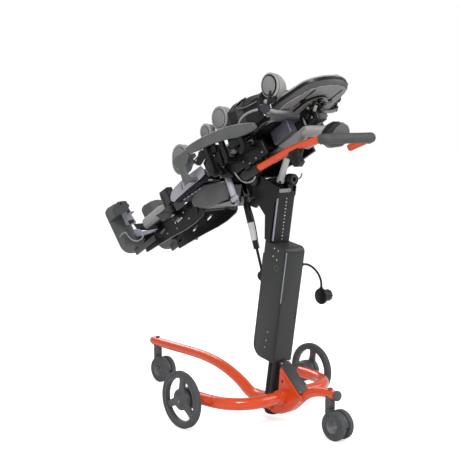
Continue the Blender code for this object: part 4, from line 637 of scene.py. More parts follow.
def soft_piece(name, form, material, body, into, replaces, slot, seams=(), centre=(0, 0), voxel=4.5,
               pressure=4.0, cap=4.0, fill=0.7, welt=1.5, floor=None, trim=None, mirrored=False,
               side_material=None):
    """A padded piece and the welts that are sewn round it; a mirrored twin is made from the same mesh."""
    bm = blown(name, form, voxel, pressure, cap, floor)
    lines = [seam_line(bm, height, centre) for height in seams]
    for word in ("left_", "right_") if mirrored else ("",):
        pad = bm.copy()
        pad.transform(into)
        if word == "right_":
            mirror_x(pad)
        nodes = [word + node for node in replaces]
        rides = body.replace("SIDE_", word)
        if side_material:
            pad.normal_update()
            back = into.to_3x3().inverted()
            for face in pad.faces:
                facing = back @ face.normal
                face.material_index = int(abs(facing.x) > WIDE_FACE or facing.y > 0.5)
        obj = settle(word + name, pad, (material, side_material) if side_material else material, rides,
                     smooth=180, replaces=nodes, levels=1)
        for i, line in enumerate(lines):
            if len(line) < 8:
                continue
            cord = pipe(line, welt, closed=True, fine=2, sides=2)
            cord.transform(into)
            if word == "right_":
                mirror_x(cord)
            settle(f"{word}{name}_welt_{i + 1}", cord, trim or material, rides, smooth=180)
    bm.free()


# Settings a user would change

class FrameColours(bpy.types.PropertyGroup):
    """Colours of the frame's finishes."""

    def colour(name, text, value):
        return FloatVectorProperty(name=name, description=text, subtype="COLOR", size=3, min=0, max=1,
                                   default=value)

    frame: colour("Frame", "Powder coat of the base and the push bar", (0.83, 0.078, 0.012))
    shells: colour("Shells", "Grey moulded shells and rails", (0.115, 0.118, 0.118))
    slate: colour("Slate", "Blue-grey mouldings on the beam", (0.098, 0.096, 0.125))
    pale: colour("Pale plate", "Light grey plates under the head end", (0.33, 0.335, 0.325))
    black: colour("Black", "Black plates and housings", (0.011, 0.0115, 0.0115))
    column: colour("Column", "Anodised lifting column", (0.030, 0.030, 0.030))
    wheels: colour("Wheels", "Wheel and caster mouldings", (0.082, 0.084, 0.090))
    fabric: colour("Fabric", "Upholstery of the pads", (0.40, 0.40, 0.395))
    straps: colour("Straps", "Foot and belt webbing", (0.33, 0.33, 0.39))


class FrameSizes(bpy.types.PropertyGroup):
    """Small sizes of the fittings and the soft goods."""

    swell: FloatProperty(name="Swell", description="Furthest a pad's cloth moves when it is blown up, mm",
                         default=3.5, min=0, max=12)
    voxel: FloatProperty(name="Mesh size", description="Voxel size of the pads before they are blown up, mm",
                         default=4.5, min=3, max=8)
    welt: FloatProperty(name="Welt", description="Radius of the welt sewn round a pad, mm", default=1.5,
                        min=0.5, max=4)
    tread: FloatProperty(name="Tread", description="Depth of the tyres' tread grooves, mm", default=0.8,
                         min=0, max=3)
    spokes: IntProperty(name="Spokes", description="Spokes of a side wheel", default=3, min=3, max=8)


# Colours of trim that stay as they are; two of them are also painted highlights

# pale lilac of beads, wires and ribs, made lighter so that it is also a painted highlight: on the head
# board's bead, the column's corner strips and the gas spring's stripe
LILAC_TRIM_AND_HIGHLIGHT = (0.36, 0.36, 0.44)
PALE_LILAC = (0.46, 0.46, 0.52)
HIP_GREY = (0.22, 0.22, 0.26)
LEVER_GREY = (0.46, 0.47, 0.46)
BORE_GREY = (0.24, 0.245, 0.25)
BAND_WHITE = (0.72, 0.72, 0.72)
# green grey lighter than the housing: a painted highlight on the housing's bulge
SOCKET_HIGHLIGHT_GREEN = (0.075, 0.09, 0.08)
SEAL_BLACK = (0.006, 0.006, 0.006)
STEEL = (0.72, 0.72, 0.73)
ZINC = (0.5, 0.51, 0.52)
BUCKLE_RED = (0.42, 0.012, 0.014)
TICK_GREY = (0.55, 0.56, 0.55)
COVER_GREY = (0.045, 0.046, 0.048)


class STAND_OT_finishes(bpy.types.Operator):
    """Make the frame's finishes"""

    bl_idname = "stand.finishes"
    bl_label = "Finishes"

    def execute(self, context):
        c = context.scene.stand_colours
        make_powder_coat("orange", tuple(c.frame), 0.22, 0.8, 260.0)
        make_powder_coat("black_coat", tint(c.black, 0.62), 0.3, 0.18, 520.0)
        make_extrusion("column", tuple(c.column), 0.46)
        make_moulding("housing", tint(c.black, 2.5), 0.4, 900.0, 0.3)
        make_moulding("black_plastic", tint(c.black, 0.7), 0.34, gloss=0.4)
        make_moulding("shell_grey", tuple(c.shells), 0.45)
        make_moulding("rail_grey", tint(c.shells, 1.15), 0.5)
        make_moulding("rail_dark", tint(c.shells, 0.45), 0.45)
        make_moulding("slate", tuple(c.slate), 0.4)
        make_moulding("slate_dark", tint(c.slate, 0.42), 0.4)
        make_moulding("pale", tuple(c.pale), 0.5)
        make_moulding("plate_grey", tint(c.pale, 0.85), 0.5)
        make_moulding("shell_rim", tint(c.shells, 0.72), 0.4)
        # the bead finish also colours the painted highlight strips on the column and on the gas spring
        make_moulding("bead", LILAC_TRIM_AND_HIGHLIGHT, 0.4)
        make_moulding("lilac", PALE_LILAC, 0.42)
        make_moulding("hip_face", HIP_GREY, 0.5)
        make_moulding("lever_grey", LEVER_GREY, 0.4)
        make_plain("bore_grey", BORE_GREY, 0.35)
        make_plain("band_white", BAND_WHITE, 0.4)
        make_moulding("heel_rubber", tint(c.shells, 0.62), 0.6, 160.0, 0.9)
        # painted highlight: the green grey of the housing's bulge
        make_moulding("bulge_green", SOCKET_HIGHLIGHT_GREEN, 0.45)
        make_plain("seal", SEAL_BLACK, 0.6)
        make_moulding("wheel_rim", tuple(c.wheels), 0.42)
        make_rubber("tyre", tint(c.wheels, 0.9), 0.55)
        make_rubber("grip_rubber", tint(c.shells, 0.62), 0.5)
        make_rubber("cord", tint(c.black, 1.4), 0.42)
        make_steel("steel", STEEL, 0.28)
        make_steel("zinc", ZINC, 0.42)
        make_cloth("fabric", tuple(c.fabric), 1.5, 0.45, 0.25)
        make_cloth("dark_fabric", tint(c.black, 1.5), 1.3, 0.5, 0.1)
        make_cloth("side_fabric", tint(c.black, 2.0), 1.3, 0.4, 0.15)
        make_moulding("inset", tint(c.fabric, 0.66), 0.5, 900.0, 0.4)
        make_cloth("piping", tint(c.fabric, 0.8), 0.9, 0.3, 0.15)
        make_webbing("webbing", tuple(c.straps))
        make_webbing("black_webbing", tint(c.black, 1.8))
        make_plain("red_plastic", BUCKLE_RED, 0.35)
        make_plain("mark", TICK_GREY, 0.5)
        make_plain("bare_plate", COVER_GREY, 0.32)
        return {"FINISHED"}


# Base

WHEEL_Y, WHEEL_Z = 108.0, 100.0
WHEEL_FACE = 330.0
TYRE_RADIUS = 99.6
SPOKE_FOOT, SPOKE_END, FIRST_SPOKE = 24.0, 80.0, 97
BEARING_FACE = 256.0
CASTERS = (("front", 668.0, 173.0), ("rear", -293.0, 164.0))  # name, the stem's Y, the stem's top
CASTER_TRAIL, CASTER_Z = 36.0, 50.0
LEG_WASHER = [(8, 0), (9.6, 0.6), (9.6, 1.6), (8, 2)]
HUB_PLATE_FOOT = (0, -131, 158.5)
HUB_PLATE_SLOPE = math.atan2(-93.0, -106.0) + math.pi


def tube_run(points, radius, radii=None):
    """A bent tube of the base, smooth along and round."""
    return pipe(points, radius, radii, fine=10, sides=7)


class STAND_OT_base(bpy.types.Operator):
    """Build the cross base: hub, bent legs, collars and plates"""

    bl_idname = "stand.base"
    bl_label = "Base"

    def execute(self, context):
        dress("base_hub", "orange", 34, 2.2)
        front = [(0, 74.6, 63), (0, 90, 65.5), (0, 108, 71), (0, 150, 95), (0, 200, 117), (0, 260, 136),
                 (0, 340, 150), (0, 430, 155), (0, 560, 155), (0, 690, 155), (0, 704, 155)]
        slim = [21, 21, 20.8, 20.2, 19.6, 19, 18.6, 18.2, 18, 18, 14]
        bm = tube_run(front, 1.0, slim)
        add(bm, lathe([(23.5, 0), (24.4, 1), (24.4, 6), (22.6, 8), (20.5, 8.4)], (0, 72, 63),
                      (0, 1, 0.12), 48))
        add(bm, lathe(LEG_WASHER, (0, 668, 172.6), (0, 0, 1), 32))
        settle("front_leg_tube", bm, "orange", "base", replaces=("front_leg",))
        rear = [(0, -162, 104), (0, -178, 117), (0, -200, 130), (0, -236, 143), (0, -268, 148),
                (0, -300, 148), (0, -319.7, 148)]
        bm = tube_run(rear, 16.0)
        add(bm, lathe(LEG_WASHER, (0, -293, 163.6), (0, 0, 1), 32))
        settle("rear_leg_tube", bm, "orange", "base", replaces=("rear_leg",))
        cap = lathe([(0.01, 0), (16.9, 0), (17.4, 0.8), (17.4, 8), (16.2, 11), (12, 12.4), (0.01, 12.6)],
                    (0, -319.4, 148), (0, -1, 0), 48)
        settle("rear_leg_cap", cap, "wheel_rim", "base", smooth=50)
        for side, word in SIDES:
            route = [(-46.4, -92, 100), (-66, -92, 100), (-90, -92, 100), (-135, -91, 100), (-180, -78, 100),
                     (-220, -46, 100), (-243, -4, 100), (-252, 38, 100), (-255.5, 88, 100),
                     (-256.5, 108, 100)]
            bm = tube_run([(x * -side, y, z) for x, y, z in route], 21.2)
            add(bm, lathe([(21.2, 0), (23.4, 0.8), (23.4, 7), (21.6, 9), (21.2, 9)], (side * 46.4, -92, 100),
                          (side, 0, 0), 48))
            settle(word + "_leg_tube", bm, "orange", "base")
            start = side * BEARING_FACE
            housing = lathe([(0.01, 0), (30, 0), (34, 1.5), (36.5, 6), (39, 12), (39, 38), (37.6, 41.5),
                             (34, 44), (29, 45.4), (29, 45.8), (8, 45.8), (8, 58), (0.01, 58)],
                            (start, WHEEL_Y, WHEEL_Z), (side, 0, 0), 64)
            for turn in (35, 145, 215, 325):
                at = (start + side * 1.5, WHEEL_Y + 31 * math.cos(math.radians(turn)),
                      WHEEL_Z + 31 * math.sin(math.radians(turn)))
                add(housing, screw_head(at, (-side, 0, 0), 3.2, 2.6))
            settle(word + "_bearing_housing", housing, "wheel_rim", "base", smooth=32,
                   replaces=(word + "_leg",))
        bm = brick(-24, 24, -57.0, 82.6, 0.6, 5.2, 1.6)
        slope = Matrix.Translation(HUB_PLATE_FOOT) @ Matrix.Rotation(HUB_PLATE_SLOPE, 4, "X")
        settle("hub_cover_plate", bm, "bare_plate", "base", into=slope, replaces=("hub_plate",), smooth=32)
        screws = screw_row([(x, y, 5.0, 3.4) for y in (-48, 76) for x in (-18, 18)], (0, 0, 1), 2.2)
        settle("hub_plate_screws", screws, "zinc", "base", into=slope)
        bm = bmesh.new()
        for side in (-1, 1):
            add(bm, lathe([(0.01, 1.4), (3.0, 1.3), (4.4, 0.6), (4.8, 0)], (side * 25, -88, 152),
                          (side, 0, 0), 24))
            add(bm, lathe([(0.01, 1.2), (3.4, 1.0), (4.0, 0)], (side * 25, -20, 56), (side, 0, 0), 24))
        settle("hub_plugs", bm, "black_plastic", "base")
        return {"FINISHED"}


class STAND_OT_wheels(bpy.types.Operator):
    """Build the two side wheels"""

    bl_idname = "stand.wheels"
    bl_label = "Side wheels"

    def execute(self, context):
        sizes = context.scene.stand_sizes
        for side, word in SIDES:
            inward = Vector((-side, 0, 0))
            face = Vector((side * WHEEL_FACE, WHEEL_Y, WHEEL_Z))
            tyre = [(79, 4), (86, 2.2), (93, 2.4), (97.4, 4.6), (99.3, 8)]
            floor = TYRE_RADIUS - sizes.tread
            for groove in (9.5, 14, 18.5):
                tyre += [(TYRE_RADIUS, groove - 1.6), (floor, groove - 0.6), (floor, groove + 0.6),
                         (TYRE_RADIUS, groove + 1.6)]
            tyre += [(99.3, 20.4), (97.4, 23.6), (93, 25.8), (86, 26), (79, 24.4)]
            settle(word + "_tyre", lathe(tyre, face, inward, 96, ring=True), "tyre", word + "_wheel_body",
                   smooth=40)
            rim = [(76, 5.4), (77.4, 3.6), (81, 2.9), (84.6, 3.3), (85.8, 5), (85.8, 23), (84.6, 24.6),
                   (81, 25), (77.4, 24.2), (76, 22.6)]
            bm = lathe(rim, face, inward, 96, ring=True)
            dome = [(0.01, -2.2), (9, -2.9), (15, -2.2), (20, -0.4), (23.6, 2.6), (25.4, 5.6), (30, 6.6),
                    (35.4, 7.2), (37, 9), (37, 24.5), (35, 26), (9, 26)]
            add(bm, lathe(dome, face, inward, 72))
            for i in range(sizes.spokes):
                turn = math.radians(FIRST_SPOKE + 360 * i / sizes.spokes)
                spoke = brick(8, 20, -13.5, 13.5, SPOKE_FOOT, SPOKE_END)
                for v in spoke.verts:
                    v.co.y *= 1.25 if v.co.z < 40 else 1.05
                ring = [e for e in spoke.edges if abs(e.verts[0].co.z - e.verts[1].co.z) > 10]
                bmesh.ops.subdivide_edges(spoke, edges=ring, cuts=5)
                for v in spoke.verts:
                    v.co.y *= 1 - 0.2 * math.sin(math.pi * (v.co.z - SPOKE_FOOT) / (SPOKE_END - SPOKE_FOOT))
                soften(spoke, 3.0, 3, 50)
                spoke.transform(Matrix.Translation(face) @ Matrix.Rotation(turn - math.pi / 2, 4, "X")
                                @ Matrix.Diagonal((-side, 1, 1, 1)))
                add(bm, spoke)
            settle(word + "_wheel_rim", bm, "wheel_rim", word + "_wheel_body", smooth=36,
                   replaces=(word + "_wheel",))
            bolt = screw_head(face + Vector((side * 2.2, -7, -2)), (side, 0, 0), 3.4, 2.4)
            settle(word + "_wheel_bolt", bolt, "zinc", word + "_wheel_body")
        return {"FINISHED"}


class STAND_OT_casters(bpy.types.Operator):
    """Build the two twin casters"""

    bl_idname = "stand.casters"
    bl_label = "Casters"

    def execute(self, context):
        for word, stem_y, top in CASTERS:
            axle = Vector((0, stem_y - CASTER_TRAIL, CASTER_Z))
            stem = lathe([(0.01, 101), (15.6, 101), (16.5, 102), (16.5, 128), (15.4, 129.5), (15.4, 131),
                          (16.5, 132.5), (16.5, top - 28), (15.5, top - 20), (12, top - 14)], (0, stem_y, 0),
                         (0, 0, 1), 48)
            add(stem, lathe([(8.5, 0.3), (8.5, 3.4), (7.4, 4.6), (4.4, 5.2), (3.9, 3.2), (0.01, 3.1)],
                            (0, stem_y, top), (0, 0, 1), 28))
            settle(word + "_caster_stem_tube", stem, "wheel_rim", "base", smooth=45,
                   replaces=(word + "_caster_stem",))
            bm = upright(arc(axle.yz, 45, 3, 177, 28) + arc(axle.yz, 37, 177, 3, 28), -7, 7, 2.2, 3)
            add(bm, lathe([(29.3, -7), (37, -7), (38, -6), (38, 6), (37, 7), (29.3, 7)], axle, (1, 0, 0),
                          64, ring=True))
            neck = lathe([(0.01, 62), (15, 62), (16.5, 66), (16.5, 96), (15.6, 100.7), (0.01, 100.7)],
                         (0, stem_y, 0), (0, 0, 1), 40)
            add(bm, neck)
            add(bm, brick(-6.6, 6.6, stem_y - 24, stem_y + 4, 60, 88, 3))
            settle(word + "_caster_hood", bm, "wheel_rim", word + "_swivel", smooth=40,
                   replaces=(word + "_caster_fork",))
            wheel = bmesh.new()
            for side in (-1, 1):
                profile = [(24, 29), (26, 29.3), (28.5, 28.2), (31, 26.6), (38, 26.4), (40.5, 27.8),
                           (44, 28.6), (47.6, 27.4), (49.4, 24.6), (49.8, 21), (49.8, 14.6), (49.2, 11.4),
                           (47, 9.2), (29, 8.6), (29, 0), (24, 0)]
                add(wheel, lathe(profile, axle, (side, 0, 0), 80, ring=True))
            lining = lathe([(23.4, -28.8), (24.6, -28.8), (24.6, 28.8), (23.4, 28.8)], axle, (1, 0, 0),
                           64, ring=True)
            settle(word + "_caster_bore", lining, "bore_grey", word + "_rollers", smooth=40)
            settle(word + "_caster_tyres", wheel, "tyre", word + "_rollers", smooth=38,
                   replaces=(word + "_caster_wheels",))
        return {"FINISHED"}


# Column

LOCK_DRUM = ((12, -74, 853), (0, -1, 0.02))  # the middle of its back, and its axis
SCALE_TICKS, SCALE_START, SCALE_STEP = 13, 643, 12.0
SPRING_LOW_PIN = (0, 40, 506)
SPRING_TOP_PIN = (0, -120, -4)  # in the support's frame


class STAND_OT_column(bpy.types.Operator):
    """Build the mast, the housing and the lifting column"""

    bl_idname = "stand.column"
    bl_label = "Column"

    def execute(self, context):
        dress("mast", "column", 32, 0.8)
        dress("column_outer", "column", 32, 0.5)
        dress("lift_screw", "steel", 60, 0)
        dress("column_inner", "column", 30, 0.6)
        dress("housing_shell", "housing", 30, 0.8)
        dress("housing_back", "housing", 30, 0.8)
        dress("column_head", "black_coat", 28, 0.7)
        # painted highlight: pale lilac strips on the column's side faces, along a corner of each
        strips = bmesh.new()
        for side, word in SIDES:
            add(strips, brick(*span(side, 36.3465, 38.007), 55.6, 63.6, 640, 792, 0.5, 2))
        settle("column_corner_highlight_strips", strips, "bead", "lift", into=COLUMN, smooth=50)
        ticks = bmesh.new()
        for i in range(SCALE_TICKS):
            half = 3.2 if i % 2 else 2.1
            low = SCALE_START + SCALE_STEP * i
            add(ticks, brick(-half, half, 53.5, 54.2, low, low + 4.2, 0.3, 1))
        settle("column_height_scale", ticks, "mark", "lift", into=COLUMN, smooth=50)
        dots = bmesh.new()
        for q, a, radius in ((38, 620, 2.6), (18, 616, 2.6), (40, 592, 2.8), (20, 584, 2.8), (22, 322, 2.2),
                             (25, 290, 2.2), (28, 264, 2.2)):
            add(dots, rod((-45.8, q, a), (-44.6, q, a), radius, 20))
        settle("housing_marks", dots, "mark", "base", into=COLUMN, smooth=50)
        ring = lathe([(8.0, 0), (10.4, 0), (10.4, 0.8), (8.0, 0.8)], (-45.1, 16, 556), (-1, 0, 0),
                     40, ring=True)
        settle("housing_ring", ring, "shell_grey", "base", into=COLUMN, smooth=50)
        for name, stuff, a0, a1 in (("housing_bead", "bead", 440, 621), ("housing_groove", "seal", 232, 440)):
            bead = brick(-45.7, -43.4, -24.3, -20.9, a0, a1, 0.9, 2)
            settle(name, bead, stuff, "base", into=COLUMN, smooth=50)
        for side, word in SIDES:
            tail = upright([(91, 634.6), (91, 652), (68, 652), (66, 634.6)], *span(side, 37.4, 42.4), 1.2, 2)
            settle(word + "_cheek_tail", tail, "black_coat", "lift", into=COLUMN, smooth=34)
        # painted highlight: the bulge's green grey is lighter than the housing round it
        bulge = upright([(80, 502), (90, 512), (101, 530), (105, 556), (104, 586), (96, 592), (86, 590)],
                        -36, 30, 5, 3)
        settle("housing_socket", bulge, "bulge_green", "base", into=COLUMN, smooth=34)
        return {"FINISHED"}


class STAND_OT_tilt_joint(bpy.types.Operator):
    """Build the axle, the lock drum with its lever, and the pivot's caps"""

    bl_idname = "stand.tilt_joint"
    bl_label = "Tilt joint"

    def execute(self, context):
        dress("tilt_axle", ("steel", "black_plastic"), 32, 0.3, lambda at, normal: at.x < -30)
        handle = rod((-20, -69, 852), (-20, -99, 927), 12.0, 40, 4, 10.8)
        add(handle, rod((-20, -65, 843), (-20, -71, 858), 13.2, 40, 3))
        settle("lock_lever_handle", handle, "lever_grey", "lock", smooth=50, replaces=("lock_lever",))
        base = brick(-40, 12, 49.5, 56.5, 812, 825, 2.6)
        add(base, screw_head((2, 49.6, 816), (0, -1, 0), 3.6, 2.4))
        settle("lock_lever_base", base, "pale", "lift", into=COLUMN, smooth=40)
        drum = lathe([(0.01, 0), (18.6, 0), (19.6, 1), (19.6, 26), (18.4, 28.6), (15.5, 29.4), (14.6, 27.6),
                      (9.6, 27.2), (9.2, 20), (0.01, 20)], *LOCK_DRUM, 56)
        settle("lock_drum", drum, "black_plastic", "lift", smooth=40)
        rim = lathe([(9.4, 27.4), (11.4, 28.2), (12.0, 27.6), (11.4, 27.0), (9.8, 26.6)], *LOCK_DRUM,
                    48, ring=True)
        settle("lock_drum_ring", rim, "shell_grey", "lift", smooth=50)
        for side, word in SIDES:
            cap = lathe([(0.01, 9), (9, 9), (17, 7.2), (20.6, 4.4), (21, 0), (0.01, 0)],
                        (side * 47.6, PIVOT_Y, PIVOT_Z), (side, 0, 0), 56)
            add(cap, screw_head((side * 56, PIVOT_Y, PIVOT_Z), (side, 0, 0), 5.4, 2.6))
            settle(word + "_pivot_cap", cap, "housing", "lift", smooth=40)
        return {"FINISHED"}


class STAND_OT_gas_spring(bpy.types.Operator):
    """Build the gas spring with its sleeve, wire and fork"""

    bl_idname = "stand.gas_spring"
    bl_label = "Gas spring"

    def execute(self, context):
        dress("gas_spring_rod", "black_coat", 40, 0.3)
        dress("gas_spring_cylinder", "black_coat", 40, 0.3)
        high = SUPPORT @ Vector(SPRING_TOP_PIN)
        run = (high - Vector(SPRING_LOW_PIN)).normalized()
        sleeve = lathe([(11.2, 0), (12.2, 0), (12.7, 1.2), (12.7, 66), (12, 68), (11.2, 68)],
                       high - run * 102, run, 48, ring=True)
        band = lathe([(11.1, 0), (11.9, 0.2), (11.9, 65.8), (11.1, 66)], high - run * 168, run, 48, ring=True)
        settle("gas_spring_band", band, "band_white", "spring_cylinder", smooth=40)
        settle("gas_spring_sleeve", sleeve, "black_plastic", "spring_cylinder", smooth=40)
        aside = run.cross(Vector((1, 0, 0))).normalized() * 9
        bends = ((30, 1.2), (70, 2.0), (120, 2.1), (170, 1.6))
        wire = pipe([high - run * down - aside * out for down, out in bends], 2.0, sides=4)
        settle("gas_spring_wire", wire, "black_plastic", "spring_cylinder", smooth=180)
        # painted highlight: a thin lilac rod lying along the sleeve's side
        stripe = rod(high - run * 98 + aside * 1.42, high - run * 42 + aside * 1.42, 1.4, 12, 0.5)
        settle("gas_spring_highlight_stripe", stripe, "bead", "spring_cylinder", smooth=50)
        fork = brick(-17, -11, -6, 6, -26, 8, 3)
        add(fork, brick(11, 17, -6, 6, -26, 8, 3))
        fork.transform(Matrix.Translation(high) @ turn_to(run))
        settle("gas_spring_fork", fork, "pale", "spring_cylinder", smooth=34)
        return {"FINISHED"}


# Body support

HEAD_BOARD_BEADS = (  # name, inset from the outline, height, radius, fineness, finish
    # the head board's bead is the lightened lilac: partly a painted highlight along the shell's rim
    ("back_shell_bead", 12.5, 111.1, 1.3, 3, "bead"),
    ("back_shell_groove", 0.4, 127.6, 1.1, 3, "seal"),
    ("back_cushion_rim", 4.0, 140.6, 3.4, 4, "fabric"))


class STAND_OT_support(bpy.types.Operator):
    """Build the tilting support's hard parts"""

    bl_idname = "stand.support"
    bl_label = "Body support"

    def execute(self, context):
        dress("spine_beam", "black_coat", 28, 0.7)
        pill = rod((-74, 0, 0), (60, 0, 0), 20, 40, 9)
        pill.transform(Matrix.Translation((0, 318, 15)) @ Matrix.Diagonal((1, 1.15, 0.86, 1)))
        settle("rear_cover_cap", soften(pill, 5, 4, 30), "pale", "support", into=SUPPORT, smooth=50,
               replaces=("rear_cover",))
        dress("control_box", "slate", 30, 1.6)
        for side, word in SIDES:
            plate = upright([(160, 44), (276, 38), (296, 8), (256, 1), (208, 6)], *span(side, 30, 46.5), 2, 3)
            settle(word + "_beam_plate", plate, "plate_grey", "support", into=SUPPORT, smooth=34)
        for word in ("left", "right"):
            dress(word + "_side_rail", ("rail_grey", "black_coat"), 34, 1.4,
                  lambda at, normal: -90 < at.y < 140 and at.z < rail_low(at.y) - 3)
            dress(word + "_head_arm", ("pale", "black_plastic"), 50, 0.3, lambda at, normal: at.z > 112)
            dress(word + "_leg_plate", "black_coat", 30, 0.6)
            dress(word + "_foot_plate", "shell_grey", 34, 0.8)
        dress("back_shell", ("black_plastic", "plate_grey", "shell_rim"), 30, 1.0,
              lambda at, normal: (1 if normal.z < -0.9 else 2) * (at.z < 126))
        slots = bmesh.new()
        for x in (-62, 62):
            add(slots, cut_out(capsule((x, 309), (x, 415), 3.1, 8), 113.2, 114.2))
            add(slots, cut_out(capsule((x, 396), (x, 413), 5.0, 8), 108.9, 109.8, "xs", 0.4, 2))
        settle("back_shell_slots", slots, "black_plastic", "back", into=SUPPORT, smooth=32)
        for name, inset, height, radius, sides, stuff in HEAD_BOARD_BEADS:
            bead = level_bead(back_outline(inset, 20), height, radius, sides)
            settle(name, bead, stuff, "back", into=SUPPORT, smooth=180)
        arch = cut_out([(-50, 276), (50, 276)] + arc((0, 336), 50, 0, 180, 24), 101.2, 102.7, "xs", 0.7, 2)
        settle("slide_plate_cover", arch, "plate_grey", "support", into=SUPPORT, smooth=32)
        dress("seat_shell", "shell_grey", 30, 1.2)
        return {"FINISHED"}


def both_sides(name, bm, material, body, smooth=34.0):
    """A piece of the left side and its mirror image, each riding on its own side's body."""
    for form, word in ((bm, "left"), (mirror_x(bm.copy()), "right")):
        settle(f"{word}_{name}", form, material, body.replace("SIDE", word), into=SUPPORT, smooth=smooth)


class STAND_OT_clamps(bpy.types.Operator):
    """Build the pad carriers, clamps, screws and wires under the side rails"""

    bl_idname = "stand.clamps"
    bl_label = "Pad carriers"

    def execute(self, context):
        hook = upright([(-145, 155), (-116, 154), (-104, 142), (-130, 127), (-147, 146)], -156, -140, 2, 3)
        add(hook, upright([(-106, 171), (-91, 170), (-73, 159), (-75, 142), (-89, 145), (-103, 161)],
                          -149, -136, 2, 3))
        add(hook, brick(-152, -141, -122, -88, 138, 156, 3))
        add(hook, upright([(-141, 156), (-124, 126), (-104, 132), (-76, 135), (-70, 142), (-77, 161),
                           (-104, 168), (-114, 158)], -154, -142, 2.4, 3))
        both_sides("waist_hook", hook, "black_coat", "support")
        web = upright([(-63, 174), (-19, 163), (-20, 138), (-27, 126), (-42, 132), (-55, 112), (-76, 129)],
                      -148, -140, 2, 3)
        add(web, upright([(44, 104), (49, 134), (71, 130), (112, 118), (104, 93), (58, 93)],
                         -148, -138, 2, 3))
        both_sides("rail_webs", web, "black_coat", "support")
        face = upright([(-233, 170), (-212, 149), (-177, 157), (-170, 174), (-150, 175), (-152, 188),
                        (-183, 199), (-198, 184), (-228, 185)], -131, -126, 1.4, 2)
        both_sides("hip_pad_face", face, "hip_face", "support")
        carrier = upright([(-119, 131), (-98, 138), (-65, 130), (-58, 103), (-53, 75), (-45, 61), (-55, 51),
                           (-88, 58), (-110, 79), (-117, 106)], -138, -112, 3, 3)
        add(carrier, upright([(-50, 152), (-28, 156), (-12, 146), (-22, 80), (-34, 74), (-44, 90)],
                             -141, -126, 2, 3))
        add(carrier, upright([(-63, 93), (-44, 72), (-11, 24), (-42, 30), (-69, 46), (-77, 70)],
                             -124, -98, 3, 3))
        both_sides("waist_carrier", carrier, "black_coat", "support")
        frames = upright([(-105, 126), (-72, 128), (-62, 103), (-97, 98)], -140.4, -137.5, 1.2, 2)
        add(frames, upright([(-86, 106), (-62, 102), (-57, 74), (-84, 80)], -143, -137.5, 1.4, 2))
        add(frames, upright([(-8, 116), (14, 118), (30, 93), (28, 78), (4, 76), (-9, 95)], -141,
                            -118, 2.4, 3))
        both_sides("carrier_plates", frames, "rail_dark", "support")
        block = upright([(-34, 96), (16, 112), (60, 118), (108, 104), (168, 67), (172, 15), (71, 17),
                         (36, 28), (-29, 30), (-58, 62)], -116, -103, 3, 3)
        add(block, brick(-136, -112, 66, 148, 66, 98, 4))
        add(block, brick(-132, -112, 30, 70, 92, 128, 5))
        both_sides("board_side", block, "black_coat", "support")
        screws = screw_row(((-116, 55, 44, 3.6), (-116, 79, 25, 3.2), (-116, 116, 26, 3.6),
                            (-116, 152, 29, 3.4), (-116, -30, 44, 3.0), (-116, -4, 70, 2.6)), (-1, 0, 0), 2.6)
        add(screws, screw_row(((-142, 17, 124, 4.6), (-141, -72, 116, 2.4), (-143, -70, 90, 2.6),
                               (-157, -126, 146, 3), (-138, 84, 112, 2.6), (-138, 60, 118, 2.6)),
                              (-1, 0, 0), 2.4))
        both_sides("carrier_screws", screws, "zinc", "support")
        # the thin pale rods are painted highlights on the black carriers; the pale plates are trim
        marks = bmesh.new()
        for a, b in (((98, 84), (126, 83)), ((104, 90), (120, 92)), ((132, 82), (147, 78)),
                     ((-119, 105), (-110, 92))):
            add(marks, rod((-137.4, *a), (-137.4, *b), 1.5, 12))
        add(marks, upright([(27, 92), (38, 101), (52, 96), (50, 88), (34, 86)], -137, -118, 3, 3))
        add(marks, upright([(-122, 62), (-100, 52), (-98, 57), (-119, 67)], -139.5, -136, 1, 2))
        both_sides("carrier_trim_and_highlights", marks, "pale", "support")
        cable = bmesh.new()
        for route, radius in ((((-116, -6, 34), (-113, -2, 15), (-112, 14, -11), (-112, 40, -27),
                                (-112, 64, -30), (-110, 77, -23)), 2.6),
                              (((-118, -78, 50), (-120, -71, 58), (-120, -57, 56), (-118, -51, 44),
                                (-114, -58, 36)), 3.0)):
            add(cable, pipe(route, radius, sides=4))
        both_sides("release_wire", cable, "pale", "support", 180)
        return {"FINISHED"}


class STAND_OT_head_joints(bpy.types.Operator):
    """Build the head board's lock and the head pads' ball joints"""

    bl_idname = "stand.head_joints"
    bl_label = "Head joints"

    def execute(self, context):
        neck = rod((-34, 340, 88), (34, 340, 88), 9, 24, 2)
        for x, s, h, r in ((-26, 368, 92, 7), (-8, 376, 96, 9), (14, 366, 90, 8), (0, 352, 74, 11),
                           (-30, 322, 70, 10), (26, 322, 66, 12)):
            add(neck, rod((x - 8, s, h), (x + 8, s, h), r, 20, 2.5))
        add(neck, brick(-20, 22, 300, 352, 40, 98, 4))
        settle("head_board_lock", neck, "black_coat", "support", into=SUPPORT, smooth=34)
        joint = lathe([(0.01, -15), (8, -13.4), (13, -8.5), (15.4, 0), (13, 8.5), (8, 13.4), (0.01, 15)],
                      (-150, 314, 140), (1, 0, 0), 40)
        both_sides("head_ball", joint, "black_plastic", "SIDE_head", 60)
        block = upright([(261, 146), (286, 137), (300, 119), (287, 106), (266, 112), (256, 129)], -163, -153,
                        2.6, 3)
        both_sides("head_joint", block, "slate_dark", "SIDE_head")
        ball = lathe([(0.01, -8), (5, -6.4), (8, 0), (5, 6.4), (0.01, 8)], (-160, 293, 140), (1, 0, 0), 28)
        both_sides("head_joint_screw", ball, "pale", "SIDE_head", 60)
        knobs = rod((-31, 372, 80), (-31, 356, 68), 5.5, 18, 2)
        add(knobs, rod((-34, 340, 88), (-39, 340, 88), 4.4, 16, 1.2))
        add(knobs, screw_head((-20, 326, 62), (-1, 0, 0), 5, 3))
        add(knobs, rod((24, 348, 60), (24, 336, 50), 5, 18, 1.6))
        settle("head_board_lock_pins", knobs, "pale", "support", into=SUPPORT, smooth=40)
        return {"FINISHED"}


